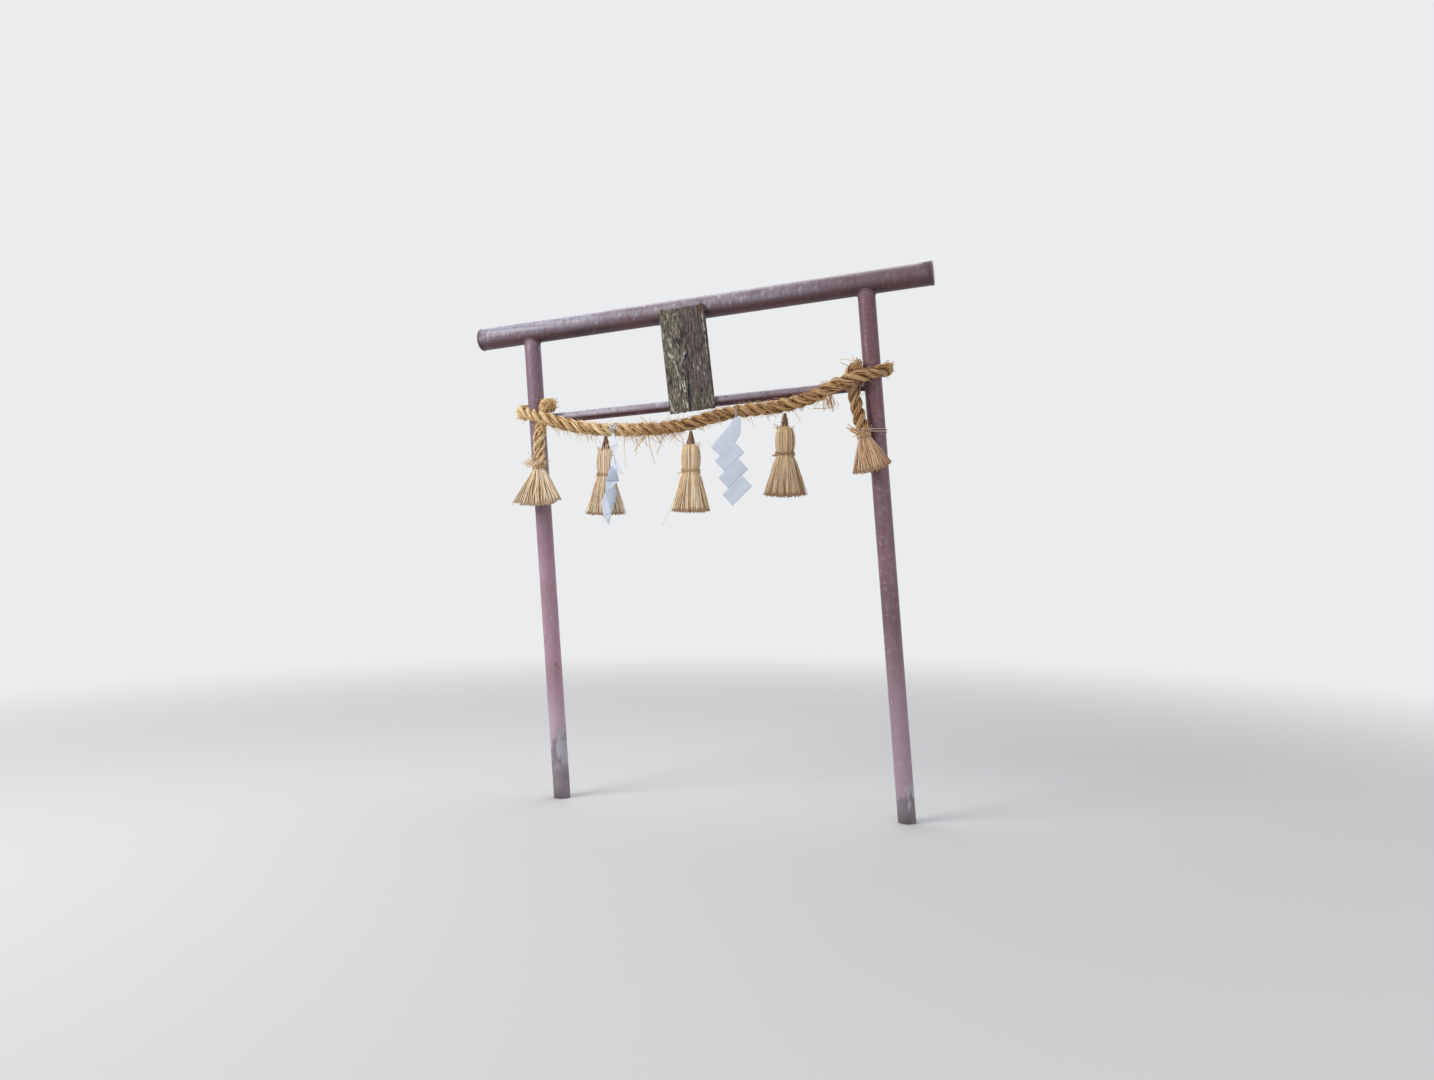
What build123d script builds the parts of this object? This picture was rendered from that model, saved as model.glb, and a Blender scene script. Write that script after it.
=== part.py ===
from build123d import *
from math import asin, cos, pi, radians, sin, tan
import os

# Overall placing, in millimetres and degrees. The frame has settled and leans to its left.
lean = 4.27
seat_gap = 0.3

# Steel pipes of the frame
post_diameter = 76.3
post_wall = 4.2
post_spacing = 1584
foot_plate = 6
kasagi_diameter = 101.6
kasagi_wall = 4.2
kasagi_height = 2183
kasagi_left_overhang = 264
kasagi_right_overhang = 288
cap_thickness = 6
cap_edge = 1.5
nuki_diameter = 48.6
nuki_wall = 3.5
nuki_left_height = 1766
nuki_right_height = 1744

# Weathered board between the two beams
plaque_width = 212
plaque_length = 468
plaque_thickness = 18
plaque_along = 773
plaque_rise = 1
plaque_turn = 1.3
plaque_corner = 3
clip_width = 10
clip_thickness = 2
clip_drop = 24
clip_inset = 14
clip_screw = 3.2

# Straw rope: thick between the posts, thinner where it is tied
span_diameter = 58
wrap_diameter = 48
tail_diameter = 44
rope_sides = 14
twine_diameter = 5
twine_pitch = 5.6
twine_sides = 20

# Bundles of straw: the fringes at the rope's ends and the tassels under it
straw_sides = 24
straw_rib = 0.07
left_fringe_size = (238, 80)
left_fringe_foot = (-97, -86, 1368)
right_fringe_size = (154, 68)
right_fringe_foot = (1457, -80, 1490)
tassel_length = 300
head_length = 112
head_width = 86
head_crown = 0.5
head_shoulder = 16
neck_length = 12
neck_width = 78
hang_cord_diameter = 8
hang_cord_length = 58
cord_sides = 8

# Folded papers
string_diameter = 3
loop_diameter = 3
paper_thickness = 1.2
pivot_drop = 12

post_radius = post_diameter / 2
kasagi_radius = kasagi_diameter / 2
nuki_radius = nuki_diameter / 2
span_radius = span_diameter / 2

# The frame's own directions: along the beams, up the posts, and level towards the front
along_dir = Vector(cos(radians(lean)), 0, sin(radians(lean)))
up_dir = Vector(-sin(radians(lean)), 0, cos(radians(lean)))
front_dir = Vector(0, -1, 0)


def frame_point(along, up, forward=0):
    return along_dir * along + up_dir * up + front_dir * forward


def export(part, name):
    part.label = name
    export_step(part, f"parts/{name}.step")


def rod(start, end, radius):
    """A solid round bar between two points, used to cope one pipe to another."""
    with BuildPart() as bar:
        with BuildSketch(Plane(origin=start, z_dir=end - start)):
            Circle(radius)
        extrude(amount=(end - start).length)
    return bar.part


os.makedirs("parts", exist_ok=True)

# Centre lines of the four pipes
kasagi_start = frame_point(-kasagi_left_overhang, kasagi_height)
kasagi_end = frame_point(post_spacing + kasagi_right_overhang, kasagi_height)
nuki_start = frame_point(0, nuki_left_height)
nuki_end = frame_point(post_spacing, nuki_right_height)
kasagi_bar = rod(kasagi_start, kasagi_end, kasagi_radius)
post_bars = []

for name, along in (("post_left", 0), ("post_right", post_spacing)):
    below = frame_point(along, -post_spacing * tan(radians(lean)) - post_diameter)
    top = frame_point(along, kasagi_height)
    post_bars.append(rod(below, top, post_radius))
    with BuildPart() as bore:
        add(rod(below, top, post_radius - post_wall))
        split(bisect_by=Plane.XY.offset(foot_plate), keep=Keep.TOP)
    with BuildPart() as post:
        add(post_bars[-1])
        split(bisect_by=Plane.XY, keep=Keep.TOP)
        add(bore.part, mode=Mode.SUBTRACT)
        add(kasagi_bar, mode=Mode.SUBTRACT)
    export(post.part, name)

with BuildPart() as kasagi:
    with BuildSketch(Plane(origin=kasagi_start + along_dir * cap_thickness, z_dir=along_dir)):
        Circle(kasagi_radius)
        Circle(kasagi_radius - kasagi_wall, mode=Mode.SUBTRACT)
    extrude(amount=(kasagi_end - kasagi_start).length - 2 * cap_thickness)
export(kasagi.part, "kasagi")

for name, end, outward in (
    ("kasagi_cap_left", kasagi_start, along_dir * -1),
    ("kasagi_cap_right", kasagi_end, along_dir),
):
    with BuildPart() as cap:
        with BuildSketch(Plane(origin=end - outward * cap_thickness, z_dir=outward)):
            Circle(kasagi_radius)
        extrude(amount=cap_thickness)
        chamfer(cap.edges().sort_by(Axis(end, outward))[-1], cap_edge)
    export(cap.part, name)

with BuildPart() as nuki:
    nuki_dir = (nuki_end - nuki_start).normalized()
    with BuildSketch(Plane(origin=nuki_start, z_dir=nuki_dir)):
        Circle(nuki_radius)
        Circle(nuki_radius - nuki_wall, mode=Mode.SUBTRACT)
    extrude(amount=(nuki_end - nuki_start).length)
    for bar in post_bars:
        add(bar, mode=Mode.SUBTRACT)
export(nuki.part, "nuki")

# The board leans on the fronts of both beams, so its back is tangent to both pipes
nuki_at_plaque = nuki_left_height + (nuki_right_height - nuki_left_height) * plaque_along / post_spacing
plaque_pitch = asin((kasagi_radius - nuki_radius) / (kasagi_height - nuki_at_plaque))
plaque_normal = front_dir * cos(plaque_pitch) - up_dir * sin(plaque_pitch)
plaque_up = up_dir * cos(plaque_pitch) + front_dir * sin(plaque_pitch)
plaque_back = (
    frame_point(plaque_along, kasagi_height)
    + plaque_normal * (kasagi_radius + seat_gap)
    + plaque_up * (plaque_rise - plaque_length / 2)
)
plaque_across = along_dir * cos(radians(plaque_turn)) + plaque_up * sin(radians(plaque_turn))
plaque_plane = Plane(origin=plaque_back, x_dir=plaque_across, z_dir=plaque_normal)

with BuildPart() as plaque:
    with BuildSketch(plaque_plane):
        RectangleRounded(plaque_width, plaque_length, plaque_corner)
    extrude(amount=plaque_thickness)
export(plaque.part, "plaque_board")

for name, side in (("plaque_clip_left", -1), ("plaque_clip_right", 1)):
    clip_x = side * (plaque_width / 2 - clip_inset)
    front_z = plaque_thickness
    with BuildPart() as clip:
        with BuildSketch(plaque_plane.offset(front_z)):
            with Locations((clip_x, plaque_length / 2 - clip_drop / 2)):
                Rectangle(clip_width, clip_drop)
        extrude(amount=clip_thickness)
        with BuildSketch(plaque_plane.offset(front_z + clip_thickness)):
            with Locations((clip_x, plaque_length / 2 + clip_thickness / 2)):
                Rectangle(clip_width, clip_thickness)
        extrude(amount=-(front_z + 2 * clip_thickness))
        with BuildSketch(plaque_plane.offset(front_z + clip_thickness)):
            with Locations((clip_x, plaque_length / 2 - 2 * clip_drop / 3)):
                Circle(clip_screw)
        extrude(amount=clip_thickness / 2)
        add(kasagi_bar, mode=Mode.SUBTRACT)
    export(clip.part, name)

# Route of the straw rope, from the left tail's tie to the right tail's. Beside a post a point is
# given as inward, forward and height from the post's own axis, and between the posts as x, y, z.
left_tail = [(12, 67, 1556), (24, 62, 1640), (38, 57, 1716), (58, 49, 1780)]
left_hump = [(74, 46, 1856), (70, -64, 1846)]
left_front = [(4, 70, 1781), (60, 113, 1764), (128, 106, 1740)]
left_outer_heights = (1820, 1798)
right_tail = [(50, 62, 1636), (68, 58, 1734), (80, 54, 1838)]
right_hump = [(82, 46, 1944), (72, -64, 1938)]
right_front = [(4, 68, 1892), (62, 106, 1874), (134, 100, 1852)]
right_outer_heights = (1924, 1908)
span_route = [
    (109, -80, 1712),
    (208, -70, 1699),
    (403, -66, 1691),
    (594, -66, 1698),
    (688, -66, 1719),
    (780, -66, 1744),
    (872, -66, 1758),
    (1052, -67, 1768),
    (1140, -70, 1784),
    (1228, -82, 1812),
]


def by_post(along, side, inward, forward, height):
    """A point beside a post, from the post's axis at that height."""
    axis_x = along / cos(radians(lean)) - height * tan(radians(lean))
    return Vector(axis_x + side * inward, -forward, height)


def tie_route(along, side, tail, hump, outer_heights, front):
    """Points from a tail's end up over the lower beam, round the post and out to the front."""
    reach = post_radius + wrap_diameter / 2 + seat_gap
    outer = [(-reach, -reach, outer_heights[0]), (-reach, reach, outer_heights[1])]
    return [by_post(along, side, *point) for point in tail + hump + outer + front]


def cord_radii(points):
    """Arc radii at the inner points of a route: as large as the two runs allow."""
    radii = []
    for before, corner, after in zip(points, points[1:], points[2:]):
        shorter = min((corner - before).length, (after - corner).length)
        turn = (corner - before).get_angle(after - corner)
        radii.append(0.45 * shorter / tan(radians(turn / 2)))
    return radii


tubes = []


def cord_tube(name, points, diameter):
    """Adds a plain round tube along a route of straight runs joined by arcs."""
    radii = cord_radii(points)
    with BuildPart() as tube:
        with BuildLine():
            wire = FilletPolyline(*points, radius=radii)
        with BuildSketch(Plane(origin=wire @ 0, z_dir=wire % 0)):
            section = RegularPolygon(diameter / 2, rope_sides)
        sweep()
    share = tube.part.volume / (wire.length * section.area)
    print(name, "radii", [round(r) for r in radii], "length", round(wire.length), "share", round(share, 4))
    tubes.append(tube.part)
    return wire


left_points = tie_route(0, 1, left_tail, left_hump, left_outer_heights, left_front)
right_points = tie_route(post_spacing, -1, right_tail, right_hump, right_outer_heights, right_front)
span_points = [Vector(*point) for point in span_route]


def halfway(a, b):
    return (a + b) / 2


for side_name, points, tail_count in (
    ("left", left_points, len(left_tail)),
    ("right", right_points, len(right_tail)),
):
    behind = halfway(points[tail_count + 1], points[tail_count + 2])
    outside = halfway(points[-2], points[-1])
    cord_tube(f"tail_{side_name}", points[: tail_count + 2] + [behind], tail_diameter)
    cord_tube(f"wrap_{side_name}", [behind] + points[tail_count + 2 : -1] + [outside], wrap_diameter)

span_start = halfway(left_points[-2], left_points[-1])
span_end = halfway(right_points[-2], right_points[-1])
span_wire = cord_tube(
    "span",
    [span_start, left_points[-1]] + span_points + [right_points[-1], span_end],
    span_diameter,
)
with BuildPart() as rope:
    for tube in tubes:
        add(tube)
export(rope.part, "rope")


def on_span(x):
    """The rope's centre point and direction where it passes a given x."""
    low, high = 0.0, 1.0
    for _ in range(40):
        middle = (low + high) / 2
        if (span_wire @ middle).X < x:
            low = middle
        else:
            high = middle
    return span_wire @ low, (span_wire % low).normalized()


def twine_turn(plane, inner_radius, thickness):
    """One turn of twine as a band of flat facets about the plane's own axis."""
    with BuildPart() as turn:
        with BuildSketch(plane.offset(-thickness / 2)):
            RegularPolygon(inner_radius + thickness, twine_sides, major_radius=False)
            RegularPolygon(inner_radius, twine_sides, major_radius=False, mode=Mode.SUBTRACT)
        extrude(amount=thickness)
    return turn.part


def outline(width, depth, sides, rib=0):
    """Points round an ellipse. With a rib share, every other point lies further in."""
    points = []
    for side in range(sides):
        angle = 2 * pi * side / sides
        share = 1 - rib * (side % 2)
        points.append((width / 2 * share * cos(angle), depth / 2 * share * sin(angle)))
    return points


def bundle(levels, sides):
    """A solid of flat facets through rings, each given as its plane, width, depth and rib share."""
    rings = []
    for plane, width, depth, rib in levels:
        rings.append([plane.from_local_coords(point) for point in outline(width, depth, sides, rib)])
    skins = [Face(Wire.make_polygon(rings[0])), Face(Wire.make_polygon(rings[-1]))]
    for near, far in zip(rings, rings[1:]):
        for side in range(sides):
            skins.append(Face(Wire.make_polygon([near[side - 1], near[side], far[side]])))
            skins.append(Face(Wire.make_polygon([near[side - 1], far[side], far[side - 1]])))
    with BuildPart() as straw:
        add(Solid(Shell(skins)))
    return straw.part


# Straw fringe below each tail, bound with three turns of twine
for side_name, points, foot, size in (
    ("left", left_points, left_fringe_foot, left_fringe_size),
    ("right", right_points, right_fringe_foot, right_fringe_size),
):
    down = (points[0] - points[1]).normalized()
    level = (1, 0, -down.X / down.Z)
    bound = points[0] + down * (2 * twine_pitch)
    levels = [
        (Plane(origin=points[0], x_dir=level, z_dir=down), tail_diameter, tail_diameter, 0),
        (Plane(origin=bound, x_dir=level, z_dir=down), tail_diameter, tail_diameter, 0),
        (Plane(origin=foot, x_dir=(1, 0, 0), z_dir=(0, 0, -1)), size[0], size[1], straw_rib),
    ]
    export(bundle(levels, straw_sides), f"end_fringe_{side_name}")

    turns = []
    for turn in (-1, 0, 1):
        centre = points[0] + down * (turn * twine_pitch)
        turns.append(twine_turn(Plane(origin=centre, z_dir=down), tail_diameter / 2 + seat_gap, twine_diameter))
    export(Compound(turns), f"end_tie_{side_name}")


def bound_pair(near_radius, far_radius, far_centre):
    """The outline that a line pulled tight makes round two round things."""
    with BuildSketch() as pair:
        with BuildSketch() as rounds:
            RegularPolygon(near_radius, twine_sides, major_radius=False)
            with Locations(far_centre):
                RegularPolygon(far_radius, twine_sides, major_radius=False)
        make_hull(rounds.sketch.edges())
    return pair.sketch


# Twine that ties the right tail to its post, two turns round both
tail_dir = (right_points[1] - right_points[0]).normalized()
tail_lean = tail_dir.dot(up_dir)
slant = (1 - tail_lean**2) ** 0.5 / tail_lean
post_axis = frame_point(post_spacing, 0)
turns = []
for turn in (4, 3):
    turn_centre = right_points[0] + tail_dir * turn * twine_pitch / tail_lean
    level = Plane(origin=turn_centre, x_dir=along_dir, z_dir=up_dir)
    post_place = level.to_local_coords(post_axis + up_dir * up_dir.dot(turn_centre - post_axis))
    place = (post_place.X, post_place.Y)
    around_tail = tail_diameter / 2 / tail_lean + twine_diameter / 2 * slant + seat_gap
    around_post = post_radius + seat_gap
    outer = bound_pair(around_tail + twine_diameter, around_post + twine_diameter, place)
    inner = bound_pair(around_tail, around_post, place)
    with BuildPart() as band:
        with BuildSketch(level.offset(-twine_diameter / 2)):
            add(outer)
            add(inner, mode=Mode.SUBTRACT)
        extrude(amount=twine_diameter)
    turns.append(band.part)
export(Compound(turns), "post_twine")

# Tassels: a straw head, bound at the neck, over a skirt. Each hangs by a cord under the rope.
tassels = [
    ("1", 238, 16, 184, 64),
    ("2", 650, 0, 168, 150),
    ("3", 1078, 0, 184, 160),
]
for number, x, back_shift, skirt_width, skirt_depth in tassels:
    centre, direction = on_span(x)
    hang_y = centre.Y + back_shift
    cord_radius = hang_cord_diameter / 2
    reach = span_radius + seat_gap + cord_radius
    slope = direction.Z / direction.X
    cord_top = centre.Z - ((reach**2 - back_shift**2) * (1 + slope**2)) ** 0.5
    head_top = cord_top - hang_cord_length
    neck_top = head_top - head_length
    skirt_top = neck_top - neck_length
    skirt_bottom = head_top - tassel_length

    levels = []
    for height, width in (
        (head_top, hang_cord_diameter),
        (cord_top, hang_cord_diameter),
        (cord_top + cord_radius * sin(pi / 4), hang_cord_diameter * cos(pi / 4)),
        (cord_top + cord_radius, cord_radius / 2),
    ):
        levels.append((Plane((x, hang_y, height)), width, width, 0))
    export(bundle(levels, cord_sides), f"tassel_cord_{number}")

    roundness = (1 + skirt_depth / skirt_width) / 2
    head_depth = head_width * roundness
    neck_depth = neck_width * roundness
    levels = [
        (Plane((x, hang_y, skirt_bottom)), skirt_width, skirt_depth, straw_rib),
        (Plane((x, hang_y, skirt_top)), neck_width, neck_depth, straw_rib),
        (Plane((x, hang_y, neck_top)), neck_width, neck_depth, straw_rib),
        (Plane((x, hang_y, neck_top + neck_length)), head_width, head_depth, straw_rib),
        (Plane((x, hang_y, head_top - head_shoulder)), head_width, head_depth, straw_rib),
        (Plane((x, hang_y, head_top)), head_width * head_crown, head_depth * head_crown, straw_rib),
    ]
    export(bundle(levels, straw_sides), f"tassel_straw_{number}")

    turns = []
    for turn in (-0.5, 0.5):
        level = Plane((x, hang_y, (neck_top + skirt_top) / 2 + turn * twine_pitch - twine_diameter / 2))
        with BuildPart() as tie:
            with BuildSketch(level):
                for reach, mode in ((seat_gap + twine_diameter, Mode.ADD), (seat_gap, Mode.SUBTRACT)):
                    points = outline(neck_width + 2 * reach, neck_depth + 2 * reach, straw_sides)
                    Polygon(*points, align=None, mode=mode)
            extrude(amount=twine_diameter)
        turns.append(tie.part)
    export(Compound(turns), f"tassel_tie_{number}")
    print("tassel", number, "swings about", [round(v, 3) for v in (x, hang_y, cord_top)])

# Folded papers, seen from the front as x and z
paper_1_outline = [
    (288, 1678), (296, 1678), (321, 1624), (299, 1572), (348, 1485), (316, 1503),
    (321, 1461), (303, 1441), (312, 1401), (288, 1316), (273, 1262), (249, 1298),
    (235, 1362), (262, 1412), (259, 1457), (283, 1532), (291, 1572), (288, 1613),
]
paper_2_top = [(861, 1729), (877, 1729), (889, 1668), (864, 1618), (794, 1556), (754, 1596)]
panel_count = 3
panel_long = 121
panel_short = 67
panel_turn = 43
panel_first = (838, 1555)
panel_step = (18, -74)

for number, x in (("1", 291), ("2", 867)):
    centre, direction = on_span(x)
    loop_reach = (span_radius + seat_gap + loop_diameter) / cos(pi / twine_sides)
    forward = loop_reach + seat_gap + string_diameter / 2
    pivot = centre + Vector(0, -((forward**2 - pivot_drop**2) ** 0.5), -pivot_drop)
    loop = twine_turn(Plane(origin=centre, z_dir=direction), span_radius + seat_gap, loop_diameter)
    export(loop, f"shide_loop_{number}")
    front = Plane(origin=(0, pivot.Y + paper_thickness / 2, 0), x_dir=(1, 0, 0), z_dir=(0, -1, 0))
    with BuildPart() as paper:
        with BuildSketch(front):
            Polygon(*(paper_1_outline if number == "1" else paper_2_top), align=None)
        extrude(amount=paper_thickness)
        if number == "2":
            for panel in range(panel_count):
                place = (panel_first[0] + panel * panel_step[0], panel_first[1] + panel * panel_step[1])
                with BuildSketch(front.offset((panel + 1) * paper_thickness)):
                    with Locations(place):
                        Rectangle(panel_long, panel_short, rotation=panel_turn)
                extrude(amount=paper_thickness)
    export(paper.part, f"shide_paper_{number}")
    paper_top = paper.part.bounding_box().max.Z
    with BuildPart() as string:
        with BuildSketch(Plane((pivot.X, pivot.Y, paper_top))):
            RegularPolygon(string_diameter / 2, cord_sides)
        extrude(amount=pivot.Z - paper_top)
    export(string.part, f"shide_string_{number}")
    print("shide", number, "swings about", [round(v, 3) for v in pivot])
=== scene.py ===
"""Looks of a small torii gate: steel pipes under old paint, a weathered board, and a straw rope with its
tassels, fringes, twine and folded papers. Every length is in metres, in the CAD model's own frame."""

from __future__ import annotations

import logging
import math
from dataclasses import dataclass
from enum import Enum
from typing import Any

import bpy
import numpy as np
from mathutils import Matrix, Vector, noise


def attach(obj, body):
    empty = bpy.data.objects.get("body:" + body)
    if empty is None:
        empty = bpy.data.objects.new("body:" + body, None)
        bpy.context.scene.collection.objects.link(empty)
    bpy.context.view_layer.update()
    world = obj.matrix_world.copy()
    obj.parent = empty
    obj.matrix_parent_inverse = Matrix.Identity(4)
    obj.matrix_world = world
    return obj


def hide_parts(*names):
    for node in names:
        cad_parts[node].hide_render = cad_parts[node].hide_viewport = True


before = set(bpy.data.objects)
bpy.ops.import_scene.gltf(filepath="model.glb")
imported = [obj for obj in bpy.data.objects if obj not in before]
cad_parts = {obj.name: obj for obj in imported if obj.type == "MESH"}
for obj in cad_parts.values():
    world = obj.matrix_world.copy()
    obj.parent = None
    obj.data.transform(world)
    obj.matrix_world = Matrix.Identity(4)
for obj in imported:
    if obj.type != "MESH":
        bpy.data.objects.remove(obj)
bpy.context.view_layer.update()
log = logging.getLogger("torii")

Point = tuple[float, float, float]
Span = tuple[float, float]
Tones = tuple[Point, Point, Point]
Patch = tuple[float, float, float, float, float]
Rows = np.ndarray
Random = np.random.Generator
Material = bpy.types.Material


def unit(vectors: Rows) -> Rows:
    """Vectors scaled to a length of one."""
    return vectors / np.maximum(np.linalg.norm(vectors, axis=-1, keepdims=True), 1e-12)


def eased(start: float, end: float, values: Rows) -> Rows:
    """A smooth step from 0 at start to 1 at end."""
    share = np.clip((np.asarray(values, float) - start) / (end - start), 0.0, 1.0)
    return share * share * (3.0 - 2.0 * share)


def even_angles(count: int) -> Rows:
    """Even angles once round."""
    return np.arange(count) * 2 * math.pi / count


def around(first: Rows, second: Rows, angle: Rows, reach: Rows | float = 1.0) -> Rows:
    """Vectors that turn from one direction towards another, reach long, by some angles."""
    return first * (np.cos(angle) * reach)[..., None] + second * (np.sin(angle) * reach)[..., None]


def read_between(knots: Rows, values: Rows, marks: Rows | float) -> Rows:
    """Points read between known ones, in straight runs."""
    return np.stack([np.interp(marks, knots, values[:, i]) for i in range(3)], axis=-1)


def roughness_at(x: float, y: float, z: float = 0.0) -> float:
    """Soft noise at one place, from -1 to 1."""
    return noise.noise(Vector((x, y, z)))


def grid_faces(rows: int, columns: int, first: int = 0) -> list[list[int]]:
    """Quads between the points of a grid.

    Args:
        rows: Its rows.
        columns: The points in each of them.
        first: The number of its first point.

    Returns:
        Four points' numbers for each quad.
    """
    corner = first + np.arange(rows - 1)[:, None] * columns + np.arange(columns - 1)
    quads = np.stack([corner, corner + 1, corner + columns + 1, corner + columns], axis=-1)
    return quads.reshape(-1, 4).tolist()


def tinted(tones: Tones, tint: Point) -> list[Point]:
    """Tones with each channel multiplied by that of a tint."""
    return [tuple(np.array(tone) * tint) for tone in tones]


def linked(name: str, data: bpy.types.ID) -> bpy.types.Object:
    """Puts an object of some data into the scene.

    Args:
        name: The object's name.
        data: Its mesh, light or camera.

    Returns:
        The object.
    """
    made = bpy.data.objects.new(name, data)
    bpy.context.scene.collection.objects.link(made)
    return made


def meshed(
    name: str,
    points: list,
    faces: list,
    carried: dict[str, Any],
    material: Material,
    smooth: bool = True,
) -> bpy.types.Object:
    """Makes a mesh and its object.

    Args:
        name: The object's name.
        points: The mesh's points.
        faces: Its faces, as numbers of their points.
        carried: Numbers or points that it carries at each of its points, by name.
        material: Its finish.
        smooth: Whether its faces are shaded smooth.

    Returns:
        The object.
    """
    mesh = bpy.data.meshes.new(name)
    mesh.from_pydata(points, [], faces)
    for key, rows in carried.items():
        values = np.array(rows, np.float32)
        kind, entry = ("FLOAT", "value") if values.ndim == 1 else ("FLOAT_VECTOR", "vector")
        mesh.attributes.new(key, kind, "POINT").data.foreach_set(entry, values.ravel())
    mesh.materials.append(material)
    if smooth:
        mesh.shade_smooth()
    return linked(name, mesh)


def seated(made: bpy.types.Object, slot: str, *nodes: str, body: str = "gate") -> bpy.types.Object:
    """Puts a piece on its body and hides the CAD nodes that it stands for.

    Args:
        made: The piece.
        slot: The piece's material slot; not used.
        nodes: The CAD nodes that it replaces.
        body: The body that it rides on.

    Returns:
        The piece.
    """
    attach(made, body)
    if nodes:
        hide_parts(*nodes)
    log.info("%s: %d faces on %s", made.name, len(made.data.polygons), body)
    return made


class Shade:
    """A shader value in plain arithmetic: each operator adds one Math node."""

    def __init__(self, maker: NodeMaker, socket: bpy.types.NodeSocket) -> None:
        """Wraps one socket of a maker's nodes."""
        self.maker = maker
        self.socket = socket

    def _math(self, operation: str, first: Shade | float, second: Shade | float) -> Shade:
        """The result of one Math node of two values."""
        node = self.maker.node("ShaderNodeMath", {"operation": operation}, {0: first, 1: second})
        return Shade(self.maker, node.outputs[0])

    def __add__(self, other: Shade | float) -> Shade:
        """This value plus another."""
        return self._math("ADD", self, other)

    __radd__ = __add__

    def __sub__(self, other: Shade | float) -> Shade:
        """This value less another."""
        return self._math("SUBTRACT", self, other)

    def __rsub__(self, other: float) -> Shade:
        """A number less this value."""
        return self._math("SUBTRACT", other, self)

    def __mul__(self, other: Shade | float) -> Shade:
        """This value times another."""
        return self._math("MULTIPLY", self, other)

    __rmul__ = __mul__

    def least(self, other: Shade | float) -> Shade:
        """The smaller of this value and another."""
        return self._math("MINIMUM", self, other)

    def most(self, other: Shade | float) -> Shade:
        """The larger of this value and another."""
        return self._math("MAXIMUM", self, other)

    def between(self, low: float, high: float) -> Shade:
        """A smooth mask: 0 below low, 1 above high."""
        inputs = {"Value": self, "From Min": low, "From Max": high}
        return self.maker.value("ShaderNodeMapRange", {"interpolation_type": "SMOOTHSTEP"}, inputs, "Result")


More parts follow.
